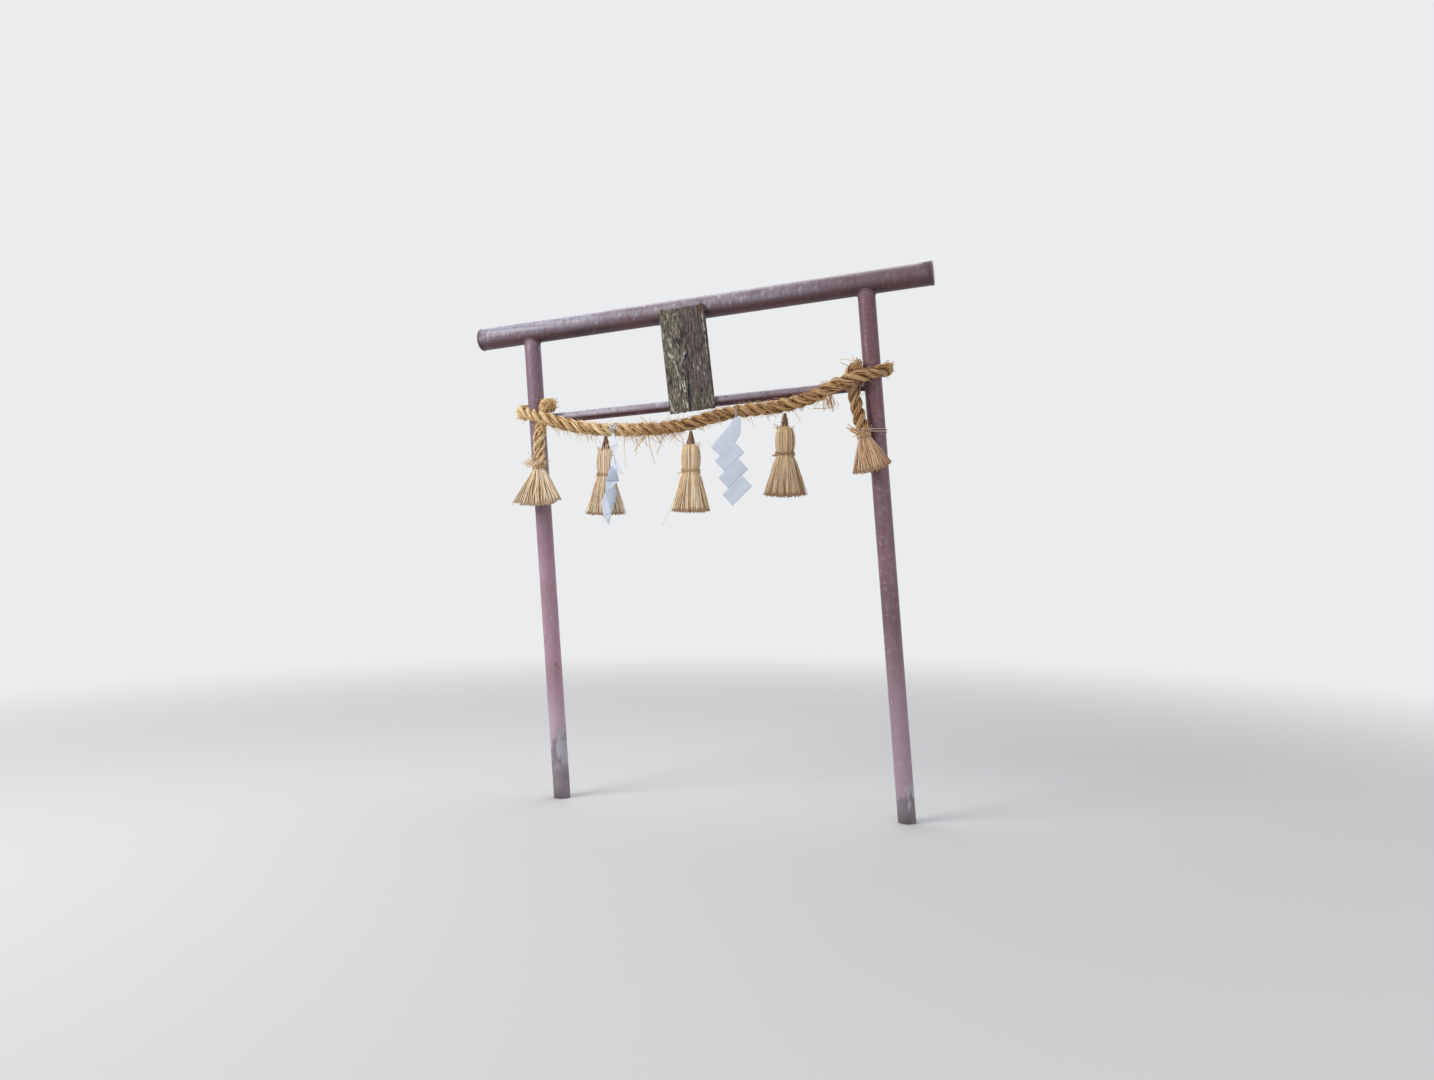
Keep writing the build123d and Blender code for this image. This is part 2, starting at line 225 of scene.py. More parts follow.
class NodeMaker:
    """Makes the nodes of one material, or of the world."""

    def __init__(self, name: str, owners: Any = None) -> None:
        """Starts with no nodes.

        Args:
            name: The new material's name.
            owners: Where it is made, for something other than a material.
        """
        self.owner = (bpy.data.materials if owners is None else owners).new(name)
        self.owner.use_nodes = True
        self.tree = self.owner.node_tree
        self.tree.nodes.clear()

    def node(self, kind: str, settings: dict | None = None, inputs: dict | None = None) -> bpy.types.Node:
        """Adds any node.

        Args:
            kind: The node's type.
            settings: What is set on the node itself, before its sockets.
            inputs: A value or a link for each of its sockets, by name or number.

        Returns:
            The new node.
        """
        made = self.tree.nodes.new(kind)
        for key, value in (settings or {}).items():
            setattr(made, key, value)
        for key, value in (inputs or {}).items():
            source = value.socket if isinstance(value, Shade) else value
            if isinstance(source, bpy.types.NodeSocket):
                self.tree.links.new(source, made.inputs[key])
            else:
                made.inputs[key].default_value = source
        return made

    def value(self, kind: str, settings: dict, inputs: dict, output: str) -> Shade:
        """One output of a new node as a value."""
        return Shade(self, self.node(kind, settings, inputs).outputs[output])

    def where(self, carried: str = "") -> bpy.types.NodeSocket:
        """The point on the piece in metres, or a point that its mesh carries under a name.

        Args:
            carried: That name.

        Returns:
            The point's socket.
        """
        if carried:
            return self.node("ShaderNodeAttribute", {"attribute_name": carried}).outputs["Vector"]
        return self.node("ShaderNodeTexCoord").outputs["Object"]

    def axis(self, name: str) -> Shade:
        """One coordinate of the point on the piece: X, Y or Z."""
        return self.value("ShaderNodeSeparateXYZ", {}, {0: self.where()}, name)

    def facing(self, name: str) -> Shade:
        """How far the surface faces along X, Y or Z, from -1 to 1."""
        normal = self.node("ShaderNodeNewGeometry").outputs["Normal"]
        return self.value("ShaderNodeSeparateXYZ", {}, {0: normal}, name)

    def painted(self, name: str) -> Shade:
        """A number that the mesh carries at each of its points."""
        return self.value("ShaderNodeAttribute", {"attribute_name": name}, {}, "Fac")

    def cloud(
        self, scale: float | Point, detail: float = 3.0, carried: str = "", lumps: float = 1.0
    ) -> Shade:
        """Soft noise from 0 to 1.

        Args:
            scale: Its lumps to a metre, or three such numbers for X, Y and Z.
            detail: Its octaves.
            carried: The name of the mesh's own points to read it at, instead of the place.
            lumps: What the three numbers are multiplied by.

        Returns:
            The noise.
        """
        place = self.where(carried)
        if isinstance(scale, tuple):
            inputs = {0: place, 1: scale}
            place = self.node("ShaderNodeVectorMath", {"operation": "MULTIPLY"}, inputs).outputs[0]
            scale = lumps
        inputs = {"Vector": place, "Scale": scale, "Detail": detail}
        return self.value("ShaderNodeTexNoise", {}, inputs, "Fac")

    def mix(self, first: Any, second: Any, share: Any, blend: str = "MIX") -> bpy.types.NodeSocket:
        """Two colours mixed.

        Args:
            first: The colour where share is 0, a link or three numbers.
            second: The colour where share is 1, a link or three numbers.
            share: How much of the second.
            blend: The way they mix.

        Returns:
            The mixed colour's socket.
        """
        colours = {}
        for slot, colour in ((6, first), (7, second)):
            colours[slot] = (*colour, 1.0) if isinstance(colour, tuple) else colour
        settings = {"data_type": "RGBA", "blend_type": blend}
        return self.node("ShaderNodeMix", settings, {0: share, **colours}).outputs[2]

    def bump(self, height: Shade, distance: float, strength: float = 1.0) -> bpy.types.NodeSocket:
        """A normal from a height, which is distance metres high where it is 1."""
        inputs = {"Height": height, "Distance": distance, "Strength": strength}
        return self.node("ShaderNodeBump", {}, inputs).outputs["Normal"]

    def finish(self, colour: Any, roughness: Any, normal: Any, **fixed: float) -> Material:
        """Closes the material with one Principled shader.

        Args:
            colour: Base colour, a link.
            roughness: A number or a link.
            normal: A link.
            fixed: Sockets that are the same all over, by name with underscores for spaces.

        Returns:
            The finished material.
        """
        inputs = {"Base Color": colour, "Roughness": roughness, "Normal": normal}
        for name, value in fixed.items():
            inputs[name.replace("_", " ")] = value
        shader = self.node("ShaderNodeBsdfPrincipled", {}, inputs)
        self.node("ShaderNodeOutputMaterial", {}, {"Surface": shader.outputs[0]})
        return self.owner


class Grain(Enum):
    """Which way a pipe's streaks run."""

    UP = (70.0, 70.0, 2.2)
    ALONG = (2.2, 70.0, 70.0)


@dataclass(frozen=True)
class PipePaint:
    """Old red-brown paint that has turned mauve and chalky, with pale chips and bare, streaked patches; its
    pale upper faces are partly chalk and partly painted sheen.
    """

    name: str
    grain: Grain
    body: Point
    deep: Point
    chalk: Point = (0.50, 0.44, 0.53)
    chip: Point = (0.62, 0.57, 0.60)
    chip_share: float = 0.7
    # chalk and painted sheen on faces that turn upward: where they start, how much there is, and where along
    # the beam they fade
    chalk_and_sheen_facing: Span = (0.2, 0.95)
    chalk_and_sheen_share: float = 0.5
    chalk_and_sheen_to: Span = (8.0, 9.0)
    bloom: Point = (0.62, 0.60, 0.68)
    end_tone: Point = (0.46, 0.48, 0.61)
    pale_end: float = 0.0
    rust: Point = (0.19, 0.075, 0.045)
    # painted shade: the darker colour that a post takes from some height up
    upper: Point = (0.188, 0.110, 0.148)
    upper_shade_from: Span | None = None
    worn: Point = (0.42, 0.30, 0.37)
    worn_between: Span | None = None
    bare: Point = (0.165, 0.152, 0.156)
    bare_pale: Point = (0.44, 0.43, 0.49)
    bare_below: float = 0.0
    bare_reach: float = 0.09
    bare_tilt: float = 0.04

    def make(self) -> Material:
        """Makes the paint.

        Returns:
            Its material.
        """
        maker = NodeMaker(self.name)
        streaks = maker.cloud(self.grain.value, 4.0)
        clouds, blots, grit = maker.cloud(4.0, 5.0), maker.cloud(48.0, 4.0), maker.cloud(420.0, 2.0)
        colour = maker.mix(self.body, self.deep, (clouds + streaks * 0.5).between(0.5, 1.0))
        # painted shade: the post turns darker above the given heights
        if self.upper_shade_from:
            colour = maker.mix(colour, self.upper, maker.axis("Z").between(*self.upper_shade_from) * 0.9)
        colour = maker.mix(colour, self.deep, blots.between(0.52, 0.70) * 0.45)
        colour = maker.mix(colour, self.chalk, blots.between(0.48, 0.30) * 0.16)
        roughness = 0.34 + clouds * 0.25
        if self.worn_between:
            low = maker.axis("Z").between(*self.worn_between[::-1])
            colour = maker.mix(colour, self.worn, low * (0.55 + blots * 0.7).least(1.0))
            roughness = roughness + low * 0.15
        # chalk and painted sheen: faces that turn upward are paler, partly weathered chalk and partly a
        # painted sheen of the sky
        top = maker.facing("Z").between(*self.chalk_and_sheen_facing)
        wash = (streaks * 0.55 + clouds * 0.25 + blots * 0.25).between(0.36, 0.62) * 0.55 + 0.45
        far = maker.axis("X").between(*self.chalk_and_sheen_to)
        colour = maker.mix(colour, self.chalk, top * wash * (1.0 - far * 0.45) * self.chalk_and_sheen_share)
        if self.pale_end > 0:
            near = maker.axis("X").between(0.45, -0.05) * maker.facing("Z").between(-0.25, 0.65)
            colour = maker.mix(colour, self.end_tone, near * wash * self.pale_end)
        # on the beams, the chalk and painted sheen of the upper faces is mottled, with a pale bloom
        if self.grain is Grain.ALONG:
            mottle = maker.cloud((62.0, 34.0, 34.0), 5.0)
            colour = maker.mix(colour, self.body, mottle.between(0.50, 0.68) * top * 0.5)
            bloom = mottle.between(0.42, 0.30) * top * (1.0 - far * 0.7) * 0.4
            colour = maker.mix(colour, self.bloom, bloom)
        rust = maker.cloud(26.0, 5.0).between(0.66, 0.74)
        colour = maker.mix(colour, self.rust, rust * 0.45)
        if self.bare_below > 0:
            bare, pale = self._bare_foot(maker)
            metal = maker.mix(self.bare, self.bare_pale, pale)
            colour = maker.mix(colour, metal, bare * (0.72 + pale * 0.2))
            roughness = roughness + bare * 0.2
        chips = maker.cloud((1.0, 1.0, 0.5), 2.5, lumps=105.0).between(0.69, 0.72)
        specks = maker.cloud((1.0, 1.0, 0.8), 1.0, lumps=300.0).between(0.74, 0.78)
        chips = chips.most(specks * 0.7)
        colour = maker.mix(colour, self.chip, chips * self.chip_share)
        height = clouds * 0.6 + grit * 0.25 + blots * 0.2 - chips * 0.7 - rust * 0.3
        normal = maker.bump(height, 0.0006, 0.6)
        return maker.finish(colour, roughness, normal, Coat_Weight=0.12, Coat_Roughness=0.25)

    def _bare_foot(self, maker: NodeMaker) -> tuple[Shade, Shade]:
        """Where a post's foot has lost its paint.

        Args:
            maker: The paint's nodes.

        Returns:
            Masks of the bare metal and of its pale patches.
        """
        height, right = maker.axis("Z"), maker.facing("X")
        edge = maker.cloud((24.0, 24.0, 13.0), 5.0)
        line = height + (edge - 0.5) * 3.0 * self.bare_reach - right * self.bare_tilt
        bare = 1.0 - line.between(self.bare_below, self.bare_below + self.bare_reach)
        pale = (maker.cloud((34.0, 34.0, 15.0), 5.0) + right * 0.11).between(0.44, 0.58)
        return bare, pale * height.between(self.bare_below * 0.45, self.bare_below * 0.8)


@dataclass(frozen=True)
class WeldSteel:
    """The bead that joins two pipes, under the same paint."""

    name: str = "weld_paint"
    body: Point = (0.17, 0.105, 0.12)
    rust: Point = (0.24, 0.12, 0.075)

    def make(self) -> Material:
        """Makes the painted bead's finish.

        Returns:
            Its material.
        """
        maker = NodeMaker(self.name)
        grit = maker.cloud(180.0, 4.0)
        colour = maker.mix(self.body, self.rust, grit.between(0.5, 0.7))
        return maker.finish(colour, 0.45 + grit * 0.3, maker.bump(grit, 0.0008))


@dataclass(frozen=True)
class BoardWood:
    """Bare old board: brown upright grain, with moss and peeled grey flakes where the mesh carries them."""

    name: str = "board_weathered"
    brown: Point = (0.034, 0.025, 0.023)
    grey: Point = (0.172, 0.142, 0.128)
    red: Point = (0.17, 0.085, 0.065)
    olive_deep: Point = (0.050, 0.046, 0.030)
    olive: Point = (0.225, 0.205, 0.145)
    dark: Point = (0.022, 0.024, 0.032)
    flake: Point = (0.56, 0.54, 0.46)
    rust: Point = (0.135, 0.036, 0.02)

    def make(self) -> Material:
        """Makes the weathered wood.

        Returns:
            Its material.
        """
        maker = NodeMaker(self.name)
        fine = maker.cloud((700.0, 30.0, 60.0), 4.0, "sheet")
        streak = maker.cloud((210.0, 17.0, 60.0), 4.0, "sheet")
        blots = maker.cloud((34.0, 20.0, 20.0), 5.0, "sheet")
        lean = maker.cloud((330.0, 36.0, 60.0), 3.0, "sheet")
        pits = maker.cloud((260.0, 45.0, 60.0), 4.0, "sheet").between(0.42, 0.33)
        level = (streak + (fine - 0.5) * 0.4 + (blots - 0.5) * 0.35).between(0.36, 0.66)
        right = maker.mix(self.brown, self.grey, level)
        left = maker.mix(self.olive_deep, self.olive, level)
        green = maker.painted("left_half") * (0.55 + blots.between(0.40, 0.60) * 0.45)
        specks = lean.between(0.55, 0.66) * (0.20 + maker.painted("left_half") * 0.50)
        fray = (lean - 0.5) * 2.3 + (fine - 0.5) * 0.6
        coats = (
            (left, green),
            (self.red, blots.between(0.56, 0.72) * streak.between(0.4, 0.6) * 0.6),
            (self.flake, specks),
            (self.dark, pits * 0.55),
            (self.flake, (maker.painted("flake") * 0.85 + fray).between(0.40, 0.80)),
            # dark stains, with painted shade in the open crack
            (self.dark, (maker.painted("dark") * 0.9 - fray * 0.5).between(0.30, 0.80) * 0.9),
            (self.rust, maker.painted("rust") * streak.between(0.3, 0.5)),
        )
        colour = right
        for coat, share in coats:
            colour = maker.mix(colour, coat, share)
        normal = maker.bump(fine * 0.6 + streak * 0.8 + blots * 0.3, 0.0011, 0.9)
        return maker.finish(colour, 0.82 + fine * 0.12, normal, Specular_IOR_Level=0.25)


@dataclass(frozen=True)
class RustySteel:
    """Thin steel gone to orange rust, with some dull metal left."""

    name: str
    rusted: Point
    deep: Point = (0.10, 0.045, 0.03)
    metal: Point = (0.26, 0.23, 0.21)

    def make(self) -> Material:
        """Makes the rusty steel.

        Returns:
            Its material.
        """
        maker = NodeMaker(self.name)
        coarse, fine = maker.cloud(90.0, 5.0), maker.cloud(700.0, 3.0)
        colour = maker.mix(self.rusted, self.deep, coarse.between(0.42, 0.62))
        colour = maker.mix(colour, self.metal, maker.cloud(55.0, 2.0).between(0.62, 0.66) * 0.6)
        return maker.finish(colour, 0.78 + fine * 0.15, maker.bump(coarse + fine * 0.5, 0.0008))


@dataclass(frozen=True)
class Straw:
    """Dry rice straw: each stalk has its own tone, and its cut end is darker."""

    name: str
    deep: Point
    middle: Point
    pale: Point
    cut: float
    browner_by_x: float = 0.0
    cut_tone: Point = (0.40, 0.205, 0.125)
    browner: Point = (0.66, 0.545, 0.475)

    def make(self) -> Material:
        """Makes the straw.

        Returns:
            Its material.
        """
        maker = NodeMaker(self.name)
        level = maker.painted("tone") + (maker.cloud(75.0, 3.0) - 0.5) * 0.5
        colour = maker.mix(self.deep, self.middle, level.between(0.0, 0.5))
        colour = maker.mix(colour, self.pale, level.between(0.45, 1.0))
        if self.browner_by_x > 0:
            share = maker.axis("X").between(0.30, 0.50) * self.browner_by_x
            colour = maker.mix(colour, self.browner, share, "MULTIPLY")
        colour = maker.mix(colour, self.cut_tone, maker.painted("run").between(0.95, 1.0) * self.cut)
        roughness = 0.62 - level.between(0.5, 1.0) * 0.16
        normal = maker.bump(maker.cloud(900.0, 2.0), 0.0003, 0.5)
        return maker.finish(colour, roughness, normal, Specular_IOR_Level=0.35)


@dataclass(frozen=True)
class Twine:
    """Laid twine of plant fibre, brown and a little hairy."""

    name: str = "twine_brown"
    deep: Point = (0.33, 0.19, 0.10)
    pale: Point = (0.80, 0.56, 0.33)

    def make(self) -> Material:
        """Makes the twine's finish.

        Returns:
            Its material.
        """
        maker = NodeMaker(self.name)
        fibre = maker.cloud(650.0, 4.0)
        level = maker.painted("tone") * 0.6 + fibre * 0.5
        colour = maker.mix(self.deep, self.pale, level.between(0.15, 0.85))
        return maker.finish(colour, 0.8, maker.bump(fibre, 0.0005), Specular_IOR_Level=0.25)


@dataclass(frozen=True)
class Paper:
    """White folded paper, a little cockled, with painted shade: bluish white, greyer over whole facets, at
    its cockles and near its folds.
    """

    name: str = "paper_white"
    # painted shade: the white is bluish, and the grey is what shaded parts turn to
    white: Point = (0.78, 0.83, 0.92)
    grey: Point = (0.32, 0.40, 0.52)

    def make(self) -> Material:
        """Makes the paper.

        Returns:
            Its material.
        """
        maker = NodeMaker(self.name)
        cockle, fibre = maker.cloud(38.0, 3.0), maker.cloud(1500.0, 2.0)
        # painted shade: darker at the cockles and by the shade that each facet carries
        shadow = (cockle.between(0.35, 0.80) * 0.10 + maker.painted("fold_and_facet_shade")).least(1.0)
        colour = maker.mix(self.white, self.grey, shadow)
        normal = maker.bump(cockle + fibre * 0.04, 0.003, 0.5)
        return maker.finish(colour, 0.72, normal, Specular_IOR_Level=0.3)


@dataclass(frozen=True)
class WhiteString:
    """White cotton string, slightly soiled."""

    name: str
    white: Point = (0.66, 0.67, 0.70)
    soiled: Point = (0.40, 0.35, 0.30)

    def make(self) -> Material:
        """Makes the string's finish.

        Returns:
            Its material.
        """
        maker = NodeMaker(self.name)
        soil = maker.cloud(120.0, 3.0).between(0.5, 0.75) * 0.6
        colour = maker.mix(self.white, self.soiled, soil)
        return maker.finish(colour, 0.85, maker.bump(maker.cloud(900.0), 0.0004))


class MeshHeap:
    """Gathers tubes and skins, with numbers carried at each point, and makes one mesh of them."""

    def __init__(self) -> None:
        """Starts empty."""
        self.points: list[Rows] = []
        self.faces: list[list[int]] = []
        self.tones: list[Rows] = []
        self.runs: list[Rows] = []
        self.count = 0

    def _keep(self, grids: Rows, tones: Rows, reach: float, lids: bool = True) -> None:
        """Adds round skins.

        Args:
            grids: Points as skin, ring, place round it, xyz.
            tones: One tone for each skin, or for each of its rings.
            reach: What the run is at the last ring, from 0 at the first.
            lids: Whether both ends get a lid.
        """
        count, rings, sides, _ = grids.shape
        first = self.count + np.arange(count)[:, None, None] * rings * sides
        place = np.arange(sides)
        near = first + np.arange(rings - 1)[None, :, None] * sides + place
        turned = first + np.arange(rings - 1)[None, :, None] * sides + (place + 1) % sides
        quads = np.stack([near, turned, turned + sides, near + sides], axis=-1)
        self.faces.extend(quads.reshape(-1, 4).tolist())
        if lids:
            self.faces.extend((first[:, 0] + place[::-1]).tolist())
            self.faces.extend((first[:, 0] + (rings - 1) * sides + place).tolist())
        run = np.linspace(0.0, reach, rings)[None, :, None]
        self.runs.append(np.broadcast_to(run, (count, rings, sides)).reshape(-1))
        tones = np.asarray(tones, float)
        self.tones.append(np.repeat(tones.reshape(-1), rings * sides if tones.ndim == 1 else sides))
        self.points.append(grids.reshape(-1, 3))
        self.count += count * rings * sides

    def tubes(self, lines: Rows, flat: Rows, widths: Rows, depths: Rows, tones: Rows, sides: int = 4) -> None:
        """Adds many closed tubes that have the same number of points.

        Args:
            lines: Centre points, as tube, point, xyz.
            flat: The direction of the width at each of them, in the same form.
            widths: Half the width, as tube, point.
            depths: Half the thickness, as tube, point.
            tones: One tone for each tube, or for each of its points.
            sides: Sides of the section.
        """
        along = unit(np.gradient(lines, axis=1))
        across = unit(flat - along * np.sum(flat * along, axis=-1, keepdims=True))
        out = np.cross(along, across)
        angles = even_angles(sides)
        ring = across[:, :, None, :] * (widths[:, :, None] * np.cos(angles))[..., None]
        ring = ring + out[:, :, None, :] * (depths[:, :, None] * np.sin(angles))[..., None]
        self._keep(lines[:, :, None, :] + ring, tones, 1.0)

    def tube(self, line: Rows, flat: Any, width: Any, depth: Any, tone: float, sides: int) -> None:
        """Adds one closed tube.

        Args:
            line: Its centre points.
            flat: The direction of its width, or one for each point.
            width: Half its width, or one for each point.
            depth: Half its thickness, or one for each point.
            tone: Its tone.
            sides: Sides of its section.
        """
        flats = np.broadcast_to(flat, line.shape)[None]
        halves = [np.broadcast_to(size, (1, len(line))) for size in (width, depth)]
        self.tubes(line[None], flats, *halves, np.array([tone]), sides)

    def skin(self, grid: Rows, tone: float = 0.5, lids: bool = True) -> None:
        """Adds one round skin: rings of points that turn anticlockwise seen against the rings' order."""
        self._keep(grid[None], np.array([tone]), 0.9, lids)

    def build(self, name: str, material: Material, smooth: bool = True) -> bpy.types.Object:
        """Makes the mesh and its object of all that was gathered."""
        carried = {"tone": np.concatenate(self.tones), "run": np.concatenate(self.runs)}
        return meshed(name, np.concatenate(self.points).tolist(), self.faces, carried, material, smooth)

    def seat(
        self, name: str, material: Material, slot: str, *nodes: str, body: str = "gate"
    ) -> bpy.types.Object:
        """Makes the mesh's object and puts it on its body, in place of its CAD nodes."""
        return seated(self.build(name, material), slot, *nodes, body=body)


class Line:
    """A centre line with even steps and a frame that is carried along it."""

    def __init__(self, points: Rows, step: float) -> None:
        """Divides the line evenly.

        Args:
            points: Points along the line, close together.
            step: The distance between the new points.
        """
        points = np.asarray(points, float)
        travelled = np.concatenate([[0.0], np.cumsum(np.linalg.norm(np.diff(points, axis=0), axis=1))])
        self.length = float(travelled[-1])
        self.marks = np.linspace(0.0, self.length, max(3, round(self.length / step) + 1))
        self.points = read_between(travelled, points, self.marks)
        self.along = unit(np.gradient(self.points, axis=0))
        start = np.array((0.0, 0.0, 1.0)) if abs(self.along[0][2]) < 0.8 else np.array((1.0, 0.0, 0.0))
        sides = [unit(start - self.along[0] * (start @ self.along[0]))]
        for direction in self.along[1:]:
            sides.append(unit(sides[-1] - direction * (sides[-1] @ direction)))
        self.side = np.array(sides)
        self.rise = np.cross(self.along, self.side)

    def at(self, marks: Rows) -> tuple[Rows, Rows, Rows, Rows]:
        """The line at some distances from its start.

        Args:
            marks: Distances, in any shape.

        Returns:
            Points, directions, sides and rises there.
        """
        kept = (self.points, self.along, self.side, self.rise)
        points, *directions = (read_between(self.marks, values, marks) for values in kept)
        return (points, *map(unit, directions))

    def nearest(self, point: Rows) -> float:
        """The distance from the start at which the line comes nearest to a point."""
        return float(self.marks[np.argmin(np.linalg.norm(self.points - np.asarray(point), axis=1))])


@dataclass
class LaidCord:
    """A thin cord or twine of plies laid round each other."""

    thickness: float
    lay: float = 0.011
    step: float = 0.0018
    plies: int = 2
    ply_share: float = 0.27

    def add(self, heap: MeshHeap, points: Rows, rng: Random) -> None:
        """Adds the cord along its centre line.

        Args:
            heap: Where its plies go.
            points: Points along the line.
            rng: Draws the plies' tones.
        """
        line = Line(points, self.step)
        ply = self.thickness * self.ply_share
        for number in range(self.plies):
            turn = 2 * math.pi * (line.marks / self.lay + number / self.plies)
            outward = around(line.side, line.rise, turn)
            centre = line.points + outward * (self.thickness / 2 - ply)
            heap.tube(centre, outward, ply, ply, rng.uniform(0.2, 0.9), 6)


def bent_straws(
    heap: MeshHeap,
    roots: Rows,
    aims: Rows,
    lengths: Rows,
    rng: Random,
    half_width: float,
    droop: float,
    pale: Span = (0.3, 1.0),
    bend: float = 0.12,
) -> None:
    """Adds single straws that leave a point and sag a little.

    Args:
        heap: Where they go.
        roots: Where each starts, as straw, xyz.
        aims: Which way each leaves.
        lengths: How long each is.
        rng: Draws their bends and tones.
        half_width: Half a straw's width.
        droop: How far it sags, as a share of its length.
        pale: The range of their tones.
        bend: How strongly they bend sideways.
    """
    count = len(roots)
    steps = np.linspace(0.0, 1.0, 7)
    curl = rng.normal(0.0, bend, (count, 3))
    curl[:, 2] -= rng.uniform(0.3, 1.0, count) * droop
    reach = lengths[:, None, None]
    lines = roots[:, None] + unit(aims)[:, None] * reach * steps[None, :, None]
    lines = lines + curl[:, None] * reach * (steps**2)[None, :, None]
    flat = np.broadcast_to(rng.normal(0.0, 1.0, (count, 1, 3)), lines.shape)
    taper = np.interp(steps, [0.0, 0.8, 1.0], [1.0, 0.9, 0.55])
    widths = half_width * rng.uniform(0.6, 1.25, (count, 1)) * taper[None]
    heap.tubes(lines, flat, widths, widths * 0.55, rng.uniform(*pale, count))


def straw_to(
    heap: MeshHeap, root: Point, tip: Point, rng: Random, half_width: float, pale: Span
) -> None:
    """Adds one nearly straight straw from its root to its tip."""
    run = np.array([tip]) - np.array([root])
    bent_straws(heap, np.array([root]), run, np.linalg.norm(run, axis=1), rng, half_width, 0.0, pale)


def wound(centre: Rows, across: Any, back: Any, climb: Any, turns: float) -> Rows:
    """Points of a winding round an ellipse.

    Args:
        centre: Its middle.
        across: One half width, as a vector.
        back: The other half width.
        climb: The whole way from its first to its last turn.
        turns: How many turns.

    Returns:
        The points.
    """
    angle = np.linspace(0.0, 2 * math.pi * turns, round(64 * turns))[:, None]
    share = angle / angle[-1] - 0.5
    across, back, climb = map(np.asarray, (across, back, climb))
    return centre + across * np.cos(angle) + back * np.sin(angle) + climb * share


@dataclass(frozen=True)
class GateFrame:
    """Where the beams and the posts stand. The frame leans to its left."""

    lean: float = math.radians(4.27)
    post_spacing: float = 1.584
    post_radius: float = 0.03815
    kasagi_height: float = 2.183
    kasagi_radius: float = 0.0508
    kasagi_ends: Span = (-0.264, 1.872)
    nuki_heights: Span = (1.766, 1.744)
    nuki_radius: float = 0.0243
    cap_thickness: float = 0.006

    @property
    def along(self) -> Rows:
        """The direction along the beams."""
        return np.array((math.cos(self.lean), 0.0, math.sin(self.lean)))

    @property
    def up(self) -> Rows:
        """The direction up the posts."""
        return np.array((-math.sin(self.lean), 0.0, math.cos(self.lean)))

    @property
    def front(self) -> Rows:
        """The direction to the front."""
        return np.array((0.0, -1.0, 0.0))

    def point(self, along: Any, up: Any, forward: Any = 0.0) -> Rows:
        """A point of the frame from its own coordinates, numbers or arrays of one shape.

        Args:
            along: Distance along the beams from the left post's axis.
            up: Distance up the posts.
            forward: Distance to the front.

        Returns:
            The point, or one for each number.
        """
        arrays = np.broadcast_arrays(*(np.asarray(part, float) for part in (along, up, forward)))
        run, height, depth = (array[..., None] for array in arrays)
        return run * self.along + height * self.up + depth * self.front

    def beside_post(self, along: float, side: int, inward: float, forward: float, height: float) -> Point:
        """A point beside a post's axis at some height, inward (side 1 at the left, -1 at the right)."""
        axis_x = along / math.cos(self.lean) - height * math.tan(self.lean)
        return (axis_x + side * inward, -forward, height)


